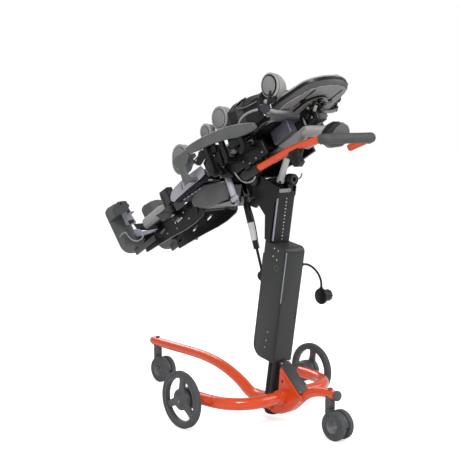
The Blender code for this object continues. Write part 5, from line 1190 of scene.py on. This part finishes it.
class STAND_OT_hips(bpy.types.Operator):
    """Build the thigh covers, the seat's clamp and the small parts round the hips"""

    bl_idname = "stand.hips"
    bl_label = "Hip covers"

    def execute(self, context):
        cover = [(-152, 136), (-143, 118), (-146, 100), (-176, 97), (-247, 98), (-339, 95), (-356, 92),
                 (-370, 104), (-368, 117), (-349, 132), (-323, 138), (-272, 141), (-210, 139)]
        slot = upright(capsule((-283, 127), (-286, 110), 2.6, 6), -140, -100)
        hole = rod((-140, -264, 117), (-100, -264, 117), 4.2, 20)
        foot = upright([(-380, 97), (-309, 72), (-328, 61), (-366, 62), (-378, 76)], -112.5, -107.5, 2, 3)
        both_sides("thigh_board_end", foot, "rail_dark", "support")
        under = upright([(-356, 100), (-160, 104), (-150, 78), (-196, 84), (-346, 82)], -117, -100, 4, 3)
        both_sides("thigh_under_cover", under, "seal", "support")
        both_sides("thigh_cover", carve(upright(cover, -124.5, -119.6, 1.6, 3), slot, hole),
                   "lilac", "support")
        seam = side_wire(-119.5, ((-337, 90), (-279, 91), (-206, 93), (-165, 80), (-110, 56), (-82, 44)), 2.8)
        both_sides("thigh_seam", seam, "seal", "support", 180)
        bm = bmesh.new()
        for i in range(5):
            s = -306 + 24 * i
            add(bm, rod((-118.6, s, 76 - 1.6 * i), (-118.6, s + 13, 75 - 1.6 * i), 1.8, 12))
        both_sides("thigh_ribs", bm, "bead", "support")
        clamp = rod((-101, -62, 44), (-101, -66, -28), 11.5, 32, 3)
        add(clamp, brick(-108, -96, -82, -48, -46, -30, 4))
        both_sides("seat_clamp", clamp, "lilac", "support")
        dots = bmesh.new()
        for i in range(6):
            add(dots, rod((-104, -78 + 0.6 * i, 38 - 12 * i), (-108, -78 + 0.6 * i, 34 - 12 * i), 2.3, 12))
        both_sides("seat_clamp_stops", dots, "seal", "support")
        bands = bmesh.new()
        for i in range(3):
            add(bands, lathe([(8, 0), (14.5, 0), (15, 1), (15, 3.4), (14.5, 4.4), (8, 4.4)],
                             (-97 + 6.4 * i, -84, -40), (1, 0, 0), 36, ring=True))
        both_sides("seat_clamp_ring", bands, "lilac", "support")
        both_sides("seat_clamp_cap", rod((-98, -84, -40), (-70, -84, -40), 12.6, 32, 2),
                   "black_plastic", "support")
        wedge = upright([(-178, -10), (-92, -30), (-86, -50), (-112, -46)], -93, -60, 3, 3)
        both_sides("seat_wedge", wedge, "plate_grey", "support")
        hang = upright([(-176, 6), (-96, -22), (-104, -34), (-141, -48), (-168, -26)], -62, -48, 2, 3)
        both_sides("seat_hanger", hang, "black_coat", "support")
        return {"FINISHED"}


class STAND_OT_feet(bpy.types.Operator):
    """Build the knee brackets, the leg plates' screws and the foot supports' trim"""

    bl_idname = "stand.feet"
    bl_label = "Leg and foot trim"

    def execute(self, context):
        bracket = upright([(-452, 176), (-416, 175), (-406, 143), (-407, 116), (-430, 104), (-448, 114),
                           (-454, 150)], -101, -86, 3, 3)
        add(bracket, upright([(-478, 93), (-412, 95), (-394, 72), (-410, 57), (-456, 60)], -128, -112, 3, 3))
        add(bracket, brick(-113, -88, -440, -410, 76, 104, 3))
        both_sides("knee_bracket", bracket, "rail_dark", "SIDE_lower_leg")
        both_sides("calf_pad_rod", rod((-112, -458, 67), (-112, -396, 57), 3.4, 16, 1), "bead",
                   "SIDE_lower_leg")
        seams = side_wire(-128.6, ((-482, 94), (-446, 88), (-412, 78), (-394, 66)), 1.6, 5, 3)
        add(seams, side_wire(-101.6, ((-446, 172), (-436, 140), (-442, 112)), 1.4, 5, 3))
        both_sides("knee_bracket_lines", seams, "seal", "SIDE_lower_leg", 180)
        slots = bmesh.new()
        for s, h in ((-600, 52), (-405, 38)):
            add(slots, upright(capsule((s - 14, h), (s + 14, h + 3), 3.0, 6), -85.4, -84.3))
        both_sides("leg_plate_slots", slots, "mark", "SIDE_lower_leg")
        places = ((-568, 66), (-500, 26), (-436, 18), (-440, 60), (-372, 54), (-352, 20))
        bolts = screw_row([(-84.4, s, h, 3.8) for s, h in places], (-1, 0, 0), 2.6)
        both_sides("leg_plate_bolts", bolts, "zinc", "SIDE_lower_leg")
        wire = side_wire(-141, ((-724, 118), (-702, 121), (-677, 115), (-668, 96), (-646, 69), (-609, 52),
                                (-578, 56), (-577, 68)), 2.6, 8)
        both_sides("foot_guard_wire", wire, "bead", "SIDE_foot", 180)
        bar = upright([(-663, 143), (-606, 121), (-523, 70), (-531, 56), (-579, 77), (-651, 111)],
                      -104, -97, 2, 3)
        add(bar, upright([(-690, 170), (-652, 158), (-650, 146), (-684, 152)], -106, -99, 1.6, 3))
        both_sides("foot_side_bar", bar, "black_plastic", "SIDE_foot")
        knob = rod((-112, -653, 231), (-138, -653, 231), 9, 28, 3)
        add(knob, rod((-137, -653, 231), (-140, -653, 231), 4, 20, 1))
        both_sides("foot_heel_knob", knob, "seal", "SIDE_foot")
        heel = upright([(-706, 244), (-668, 246), (-622, 226), (-604, 200), (-626, 187), (-676, 193),
                        (-704, 208), (-716, 230)], -137.6, -135.4, 0.8, 2)
        both_sides("foot_heel_face", heel, "heel_rubber", "SIDE_foot")
        lever = upright([(-643, 114), (-620, 103), (-610, 88), (-572, 75), (-509, 53), (-551, 56), (-604, 68),
                         (-643, 82), (-655, 101)], -122, -112, 2, 3)
        both_sides("foot_release_lever", lever, "bead", "SIDE_foot")
        guard = upright([(-700, 110), (-669, 108), (-646, 76), (-615, 50), (-579, 46), (-610, 28),
                         (-708, 76)], -138.6, -134, 1.2, 2)
        both_sides("foot_guard_plate", guard, "rail_dark", "SIDE_foot")
        buckle = brick(-112, -104, -684, -664, 218, 236, 2.4)
        both_sides("foot_buckle", buckle, "red_plastic", "SIDE_foot")
        strap = upright([(-684, 222), (-662, 220), (-652, 196), (-668, 192)], -109, -103, 1.4, 3)
        both_sides("foot_buckle_strap", strap, "black_webbing", "SIDE_foot")
        return {"FINISHED"}


class STAND_OT_pads(bpy.types.Operator):
    """Sew and stuff the pads and cushions"""

    bl_idname = "stand.pads"
    bl_label = "Pads and cushions"

    def execute(self, context):
        sizes = context.scene.stand_sizes

        def side_pad(x, s, h):
            return Matrix.Translation((x, s, h)) @ Matrix.Rotation(math.pi / 2, 4, "Y")

        common = {"voxel": sizes.voxel, "cap": sizes.swell, "welt": sizes.welt, "slot": "fabric_grey",
                  "trim": "piping"}
        turn = math.radians(30)
        ends = [(-math.cos(turn) * 9, math.sin(turn) * 9), (math.cos(turn) * 9, -math.sin(turn) * 9)]
        for name, node, body, at, reach, thick, plate, shape in (
                ("chest_cushion", "chest_pad", "support", (-136.7, 42, 220), 43, 32, 5.0, None),
                ("waist_cushion", "waist_pad", "support", (-136.7, -48, 216), 31, 28, 5.0, None),
                ("head_cushion", "head_pad", "SIDE_head", (-149.7, 327, 180), 42, 50, 7.0, None),
                ("hip_cushion", "hip_pad", "support", (-127.7, -236, 206), 48, 30, 5.0, ends)):
            def ring(radius):
                if shape:
                    return capsule(shape[0], shape[1], radius, 14)
                return arc((0, 0), radius, 0, 360 - 360 / 40, 39)
            form = pad_form(ring(reach - 2.5), 1.2, thick - 2.5, 9, 3)
            if name == "head_cushion":
                for v in form.verts:
                    v.co.z *= 1 - 0.7 * (42 - v.co.x) / 84
            soft_piece(name, form, "fabric", body, SUPPORT @ side_pad(*at), (node,), seams=(5.5,), floor=0.3,
                       mirrored=True, **common)
            for word in ("left_", "right_"):
                roll = level_bead(ring(reach - 6.8), 0, 6.2, 4)
                roll.transform(Matrix.Diagonal((1, 1, 0.62, 1)))
                roll.transform(side_pad(at[0] - 2.6, at[1], at[2]))
                back = cut_out(ring(reach - 11.5), 0, 1.6, "xs", 0.7, 2)
                back.transform(side_pad(at[0] - plate - 0.3 - 1.6, at[1], at[2]))
                edge = level_bead(ring(reach - 11.2), 0.9, 1.1)
                edge.transform(side_pad(at[0] - plate - 0.3 - 1.6, at[1], at[2]))
                for extra, tag, stuff in ((roll, "roll", "fabric"), (back, "inset", "inset"),
                                          (edge, "edging", "black_plastic")):
                    if word == "right_":
                        mirror_x(extra)
                    settle(word + name + "_" + tag, extra, stuff, body.replace("SIDE_", word),
                           into=SUPPORT, smooth=50)
        calf = rounded(-80 - 41, -80 + 41, -599, -445, 28)
        soft_piece("calf_cushion", pad_form(calf, 86, 129, 13, 3), "fabric", "SIDE_lower_leg", SUPPORT,
                   ("calf_pad",), seams=(92,), centre=(-80, -522), floor=85.3, mirrored=True, **common)
        form = pad_form(rounded(-109, 109, -53, 229, 32), 105.5, 138, 12, 4)
        ridge = ((62, 116), (74, 148), (92, 165), (128, 174), (165, 171), (198, 157), (215, 116))
        for side in (-1, 1):
            add(form, upright(ridge, *span(side, 88.5, 107.5), 7, 3))
        soft_piece("chest_board_cushion", form, "fabric", "support", SUPPORT, ("trunk_cushion",),
                   seams=(112,), centre=(0, 88), floor=104.3, side_material="side_fabric", **common)
        for side, word in SIDES:
            roll = side_wire(side * 108.5, ((56, 128), (70, 150), (90, 169), (128, 178.5), (165, 175.5),
                                            (202, 160), (222, 138), (229, 122)), 4.8, sides=5)
            settle(word + "_chest_board_roll", roll, "fabric", "support", into=SUPPORT, smooth=180)
        soft_piece("head_board_cushion", pad_form(back_outline(19), 115.5, 144, 8, 3), "fabric", "back",
                   SUPPORT, ("back_cushion",), seams=(141,), centre=(0, 360), floor=114.6, **common)
        soft_piece("thigh_board_cushion", pad_form(thigh_outline(3), 100.5, 130, 10, 0), "fabric", "support",
                   SUPPORT, ("thigh_cushion",), floor=99.3, **common)
        return {"FINISHED"}


def back_outline(inset, steps=14):
    """The head board's outline from above, drawn in by an inset: straight sides and a round top."""
    foot, head, end, start = 125 - inset, 106 - inset, 460 - inset, 258 + inset
    knee = end - head * 0.62
    crown = [(head * math.cos(math.pi * i / steps), knee + (end - knee) * math.sin(math.pi * i / steps))
             for i in range(steps + 1)]
    return [(-foot + 16, start), (foot - 16, start), (foot, start + 16)] + crown + [(-foot, start + 16)]


def thigh_outline(inset):
    """The thigh board's outline from above, with the notch between the legs."""
    half, foot, head = 114 - inset, -384 + inset, -144 - inset
    notch, end = 22 + inset, -254 + inset
    return ([(half, foot + 18), (half, head - 18), (half - 18, head), (-half + 18, head), (-half, head - 18),
             (-half, foot + 18), (-half + 18, foot), (-notch - 10, foot), (-notch, foot + 10),
             (-notch, end - 12), (-notch + 12, end), (notch - 12, end), (notch, end - 12), (notch, foot + 10),
             (notch + 10, foot), (half - 18, foot)])


RAIL_LOWER = ((-150, 187), (-136, 180), (-94, 168), (-35, 157), (14, 143), (67, 126), (111, 108), (148, 98),
              (192, 90), (210, 92))


def rail_low(s):
    """Height of a side rail's lower edge, as the CAD has it."""
    for (s0, h0), (s1, h1) in zip(RAIL_LOWER, RAIL_LOWER[1:]):
        if s <= s1:
            break
    return h0 + (h1 - h0) * (s - s0) / (s1 - s0)


BELT_FOOT, BELT_WIDTH, BELT_FLARE = 88, 122, 40
BELT_HALF_SPAN = 149.0
BELT_SHOULDER, BELT_TOP, BELT_FALL = 214, 258, 34
BELT_WALL = 0.32  # share of the arch's height at which its walls turn into its top
BELT_WEB_LINE = 0.39


def belt_point(u, v, out=0.0):
    """A point of the chest belt: u goes over the chest from left to right, v from foot edge to head edge."""
    turn = math.pi * u
    lift = math.sin(turn)
    s = BELT_FOOT + v * (BELT_WIDTH + BELT_FLARE * abs(math.cos(turn)) ** 3)
    foot = rail_low(min(s, RAIL_LOWER[-1][0])) + 16
    shoulder = BELT_SHOULDER - v * BELT_FALL
    fold = math.sin(2 * math.pi * (2.2 * v + 0.3 * math.sin(5.2 * turn) + 0.5 * u))
    pleat = math.sin(2 * math.pi * (1.1 * v - 1.7 * u)) * 0.6
    crease = noise.noise(Vector((u * 13, v * 4.3, 2.7))) * 3.4
    slack = (0.3 + 0.7 * lift) * math.sin(math.pi * min(1, max(0, v)) + 0.02)
    puff = out + ((fold + pleat) * 2.6 + crease) * slack
    wall = min(1.0, lift / BELT_WALL)
    top = max(0.0, (lift - BELT_WALL) / (1 - BELT_WALL))
    height = foot + (shoulder - foot + puff) * wall ** 0.75
    height += (BELT_TOP - BELT_SHOULDER) * (top * top * (3 - 2 * top))
    across = -(BELT_HALF_SPAN + puff * 0.4) * math.cos(turn)
    return Vector((across, s + 14 * lift * v ** 2, height))


def belt_sheet(rows, columns, first, last, out, thick):
    """A sheet over the belt's whole length and between two lines of its width."""
    bm = bmesh.new()
    bmesh.ops.create_grid(bm, x_segments=rows, y_segments=columns, size=0.5)
    for vert in bm.verts:
        vert.co = belt_point(vert.co.x + 0.5, first + (last - first) * (vert.co.y + 0.5), out)
    bmesh.ops.recalc_face_normals(bm, faces=bm.faces)
    bmesh.ops.solidify(bm, geom=bm.faces[:], thickness=thick)
    return bm


class STAND_OT_straps(bpy.types.Operator):
    """Make the chest belt and the foot straps"""

    bl_idname = "stand.straps"
    bl_label = "Belt and straps"

    def execute(self, context):
        belt = settle("chest_belt_cloth", belt_sheet(96, 36, 0.0, 1.0, 0.0, 2.6), "dark_fabric", "support",
                      into=SUPPORT, smooth=70, replaces=("chest_belt",))
        for i, v in enumerate((0.015, 0.985)):
            line = [belt_point(k / 60, v, 0.6) for k in range(61)]
            settle(f"chest_belt_hem_{i + 1}", pipe(line, 2.1, fine=2, sides=2), "black_webbing", "support",
                   into=SUPPORT, smooth=180)
        settle("chest_belt_web_1", belt_sheet(80, 4, 0.28, 0.5, 4.2, 1.4), "black_webbing", "support",
               into=SUPPORT, smooth=60)
        for word, u in (("left", 0.2), ("right", 0.8)):
            at = belt_point(u, BELT_WEB_LINE, 7.5)
            run = belt_point(u + 0.02, BELT_WEB_LINE) - belt_point(u - 0.02, BELT_WEB_LINE)
            buckle = brick(-21, 21, -16, 16, -2.6, 2.6, 2.2)
            add(buckle, brick(-13, 9, -10.5, 10.5, 2.2, 4.2, 1.2))
            add(buckle, brick(-25, -20, -13, 13, -2, 2, 1.4))
            for w in (-9, 9):
                add(buckle, brick(10, 26, w - 3, w + 3, -1.8, 1.8, 1.3))
            lie = Matrix.Translation(at) @ Matrix.Rotation(-math.atan2(run.z, run.x), 4, "Y")
            settle(word + "_belt_buckle", buckle, "black_plastic", "support", into=SUPPORT @ lie, smooth=35)
        piping = side_wire(-147.5, ((106, 112), (116, 138), (134, 153), (166, 160), (210, 153), (234, 144)),
                           4.4, sides=5)
        both_sides("belt_piping", piping, "fabric", "support", 180)
        tail = upright([(186, 192), (234, 187), (255, 178), (259, 152), (250, 134), (236, 129), (218, 140),
                        (186, 160)], -146, -128, 4, 3)
        bmesh.ops.subdivide_edges(tail, edges=tail.edges[:], cuts=3, use_grid_fill=True)
        for v in tail.verts:
            v.co += Vector((-1, 0.2, 0.4)) * (noise.noise(v.co * 0.06) * 5.0 + noise.noise(v.co * 0.15) * 2.2)
        both_sides("belt_tail", tail, "dark_fabric", "support", 60)
        # painted highlight: a grey cord along a fold of the belt's side
        fold = side_wire(-152, ((150, 196), (186, 180), (222, 172), (246, 168)), 2.4)
        both_sides("belt_fold_highlight", fold, "shell_grey", "support", 180)
        for side, word in SIDES:
            tab = upright([(-718, 216), (-668, 204), (-646, 147), (-656, 138), (-710, 161)],
                          *span(side, 98, 104.5), 2, 3)
            add(tab, rod((side * 104.4, -700, 192), (side * 106.2, -700, 192), 3.6, 20, 0.6))
            add(tab, brick(*span(side, 58, 104), -716, -690, 206, 210, 1.6))
            settle(word + "_foot_strap_tab", tab, "webbing", word + "_foot", into=SUPPORT, smooth=40,
                   replaces=(word + "_foot_strap",))
        return {"FINISHED"}


CONTROL_X, CONTROL_Z = -30, 1006


class STAND_OT_push_bar(bpy.types.Operator):
    """Build the push bar, its grip, the hand control and the spring's release"""

    bl_idname = "stand.push_bar"
    bl_label = "Push bar"

    def execute(self, context):
        dress("push_bar", "orange", 60, 0)
        dress("push_grip", "grip_rubber", 60, 0)
        shape = [(-58, -6), (-44, 18), (-22, 40), (-6, 46), (14, 44), (34, 34), (41, 20), (42, -8), (30, -22),
                 (8, -33), (-34, -36), (-50, -26)]
        case = cut_out([(x * 1.12 + CONTROL_X, z + CONTROL_Z) for x, z in shape], -352.0, -329.0,
                       "xz", 5.0, 4)
        settle("hand_control_case", case, "shell_grey", "bar", smooth=34, replaces=("hand_control",))
        strap = [(-97, 996), (-86, 1022), (-62, 1044), (-36, 1053), (-30, 1045), (-50, 1034),
                 (-72, 1012), (-84, 994)]
        settle("hand_control_strap", cut_out(strap, -353.0, -324.0, "xz", 1.5, 3), "seal", "bar", smooth=34)
        keys = bmesh.new()
        for x, z in ((-18, 26), (2, 26), (-18, 10), (2, 10)):
            add(keys, lathe([(0.01, 2.2), (5, 2.1), (6.2, 1.4), (6.6, 0)],
                            (CONTROL_X + x, -329.4, CONTROL_Z + z), (0, 1, 0), 24))
        settle("hand_control_keys", keys, "black_plastic", "bar", smooth=40)
        block = upright([(-207, 951), (-250, 969.5), (-256, 961), (-251, 946), (-250, 938), (-263, 924),
                         (-250, 908), (-234, 907), (-208, 936)], -121, -95, 2.4, 3)
        for i in range(3):
            y, z = -212 - 8.5 * i, 934 - 8.2 * i
            add(block, rod((-122.2, y - 1.5, z - 1), (-122.2, y - 24, z + 19), 1.3, 12))
        add(block, rod((-108, -250, 955), (-108, -273, 973), 5.2, 20, 1.2, 3.4))
        settle("spring_release_body", block, "black_plastic", "bar", smooth=34, replaces=("spring_release",))
        return {"FINISHED"}


LEAD_EXIT = Vector((57.3, -98, 556))
LEAD_DROP = Vector((96, 0, -90))
LEAD_RADIUS = 0.004
LEAD_STEPS = 24


def lead_route():
    """The charging lead's line, as the CAD solid has it."""
    start, end = LEAD_EXIT, LEAD_EXIT + LEAD_DROP
    first = start + Vector((8, 0, 0))
    last = end + Vector((0, 0, 8))
    knots = (first, first + Vector((38.4, 0, 0)), last + Vector((0, 0, 37.8)), last)
    route = [start]
    for i in range(LEAD_STEPS):
        t = i / (LEAD_STEPS - 1)
        k = 1 - t
        route.append(knots[0] * k ** 3 + knots[1] * 3 * k * k * t + knots[2] * 3 * k * t * t
                     + knots[3] * t ** 3)
    return route + [end]


class STAND_OT_lead(bpy.types.Operator):
    """Hang the charging lead and its plug"""

    bl_idname = "stand.lead"
    bl_label = "Charging lead"

    def execute(self, context):
        route = lead_route()
        curve = bpy.data.curves.new("charging_lead_cable", "CURVE")
        curve.dimensions = "3D"
        curve.bevel_depth = LEAD_RADIUS
        curve.bevel_resolution = 5
        curve.use_fill_caps = True
        spline = curve.splines.new("POLY")
        spline.points.add(len(route) - 1)
        for knot, point in zip(spline.points, route):
            knot.co = (point.x * UNIT, point.y * UNIT, point.z * UNIT, 1)
        curve.materials.append(FINISHES["cord"])
        cable = bpy.data.objects.new("charging_lead_cable", curve)
        context.scene.collection.objects.link(cable)
        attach(cable, "base")
        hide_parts("charging_lead")
        relief = lathe([(4.1, -2), (7.2, 0), (7.2, 3), (6.2, 5), (6.4, 8), (5.6, 9), (5.8, 12), (5.1, 13),
                        (5.3, 16), (4.6, 17), (4.8, 20), (4.2, 22)], (45, -98, 556), (1, 0, 0), 32)
        settle("charging_lead_relief", relief, "cord", "base")
        top = route[-1] - Vector((0, 0, 0.3))
        centre = top - Vector((6.5, 0, 33))
        plug = lathe([(0.01, 0), (24, 0), (27.6, 1.4), (29, 4), (29, 9.6), (27.6, 12), (24, 13.2),
                      (20.5, 13.5), (20.5, 40), (19.2, 45), (17.5, 47), (15.5, 47.4), (15, 42), (0.01, 42)],
                     centre, (1, 0, 0), 72)
        boss = lathe([(0.01, 0), (5.5, 0), (7, 4), (8, 12), (8, 24)], top, (0, 0, -1), 32)
        add(plug, boss)
        for i in range(12):
            turn = math.radians(30 * i)
            rib = brick(16, 44, -1.2, 1.2, 20, 21.6, 0.5, 2)
            rib.transform(Matrix.Translation(centre) @ Matrix.Rotation(turn, 4, "X"))
            add(plug, rib)
        obj = settle("charging_plug_body", plug, "black_plastic", "base", smooth=36,
                     replaces=("charging_plug",))
        length = sum((b - a).length for a, b in zip(route, route[1:])) * UNIT
        tuple(p * UNIT for p in route[0])
        return {"FINISHED"}


VIEW_ROUND, VIEW_UP = math.radians(-40.67), math.radians(6.96)
VIEW_FROM = (-2.38839, -2.56021, 1.09904)
VIEW_LENGTH = 1009.57 / 460  # focal length as a multiple of the picture's width
SENSOR = 36.0
WHITE = (1, 1, 1, 1)
LIT_MIDDLE = Vector((0, 0.1, 0.6))
LAMPS = (  # name, place in metres, width in metres, power in watts
    ("key", (-1.5, -2.0, 3.0), 1.1, 62.0),
    ("fill", (2.4, -1.8, 2.0), 2.0, 26.0),
    ("rim", (0.6, 2.6, 2.4), 1.6, 34.0))
FLOOR_HALF = 14


class STAND_OT_stage(bpy.types.Operator):
    """Set the floor, the lamps and the camera"""

    bl_idname = "stand.stage"
    bl_label = "Stage"

    def execute(self, context):
        scene = context.scene
        scene.view_settings.view_transform = "Standard"
        back = Vector((math.sin(VIEW_ROUND) * math.cos(VIEW_UP), -math.cos(VIEW_ROUND) * math.cos(VIEW_UP),
                       math.sin(VIEW_UP)))
        right = Vector((math.cos(VIEW_ROUND), math.sin(VIEW_ROUND), 0))
        up = back.cross(right)
        data = bpy.data.cameras.new("camera")
        data.sensor_fit = "HORIZONTAL"
        data.sensor_width = SENSOR
        data.lens = VIEW_LENGTH * SENSOR
        data.clip_end = 50
        camera = bpy.data.objects.new("camera", data)
        turn = Matrix((right, up, back)).transposed().to_4x4()
        camera.matrix_world = Matrix.Translation(VIEW_FROM) @ turn
        scene.collection.objects.link(camera)
        scene.camera = camera
        world = bpy.data.worlds.new("studio")
        scene.world = world
        world.use_nodes = True
        sky = Nodes(world.node_tree)
        soft = sky.node("ShaderNodeBackground", Color=WHITE, Strength=0.45)
        white = sky.node("ShaderNodeBackground", Color=WHITE, Strength=1.0)
        seen = sky.node("ShaderNodeLightPath")
        sky.node("ShaderNodeOutputWorld", output=None,
                 Surface=sky.node("ShaderNodeMixShader", i0=seen, i1=soft, i2=white))
        for name, at, size, power in LAMPS:
            light = bpy.data.lights.new(name, "AREA")
            light.size = size
            light.energy = power
            lamp = bpy.data.objects.new(name, light)
            aim = (LIT_MIDDLE - Vector(at)).normalized()
            lamp.matrix_world = Matrix.Translation(at) @ turn_to(-aim)
            scene.collection.objects.link(lamp)
        bm = bmesh.new()
        bmesh.ops.create_grid(bm, x_segments=1, y_segments=1, size=FLOOR_HALF)
        mesh = bpy.data.meshes.new("floor")
        bm.to_mesh(mesh)
        bm.free()
        f = Finish("floor")
        paper = f.node("ShaderNodeBsdfPrincipled", Base_Color=(0.93, 0.93, 0.93, 1), Roughness=0.75,
                       Specular_IOR_Level=0.2)
        glow = f.node("ShaderNodeEmission", Color=WHITE, Strength=0.62)
        lit = f.node("ShaderNodeAddShader", i0=paper, i1=glow)
        seen = f.node("ShaderNodeLightPath")
        mesh.materials.append(f.close(f.node("ShaderNodeMixShader", i0=seen, i1=paper, i2=lit)))
        floor = bpy.data.objects.new("floor", mesh)
        scene.collection.objects.link(floor)
        return {"FINISHED"}


class STAND_PT_panel(bpy.types.Panel):
    """The standing frame's steps and settings"""

    bl_label = "Standing frame"
    bl_idname = "STAND_PT_panel"
    bl_space_type = "VIEW_3D"
    bl_region_type = "UI"
    bl_category = "Standing frame"

    def draw(self, context):
        layout = self.layout
        for group in (context.scene.stand_colours, context.scene.stand_sizes):
            box = layout.box()
            for name in group.bl_rna.properties.keys():
                if name not in ("rna_type", "name"):
                    box.prop(group, name)
        for step in STEPS:
            layout.operator(step.bl_idname)


STEPS = (
    STAND_OT_stage, STAND_OT_finishes, STAND_OT_lead, STAND_OT_base, STAND_OT_wheels, STAND_OT_casters,
    STAND_OT_column, STAND_OT_tilt_joint, STAND_OT_gas_spring, STAND_OT_support, STAND_OT_clamps,
    STAND_OT_head_joints, STAND_OT_hips, STAND_OT_feet, STAND_OT_push_bar, STAND_OT_pads, STAND_OT_straps)
CLASSES = (FrameColours, FrameSizes) + STEPS + (STAND_PT_panel,)


def register():
    for cls in CLASSES:
        bpy.utils.register_class(cls)
    bpy.types.Scene.stand_colours = PointerProperty(type=FrameColours)
    bpy.types.Scene.stand_sizes = PointerProperty(type=FrameSizes)


def unregister():
    del bpy.types.Scene.stand_sizes
    del bpy.types.Scene.stand_colours
    for cls in reversed(CLASSES):
        bpy.utils.unregister_class(cls)


def main():
    register()
    for step in STEPS:
        group, name = step.bl_idname.split(".")
        getattr(getattr(bpy.ops, group), name)()


if __name__ == "__main__":
    main()
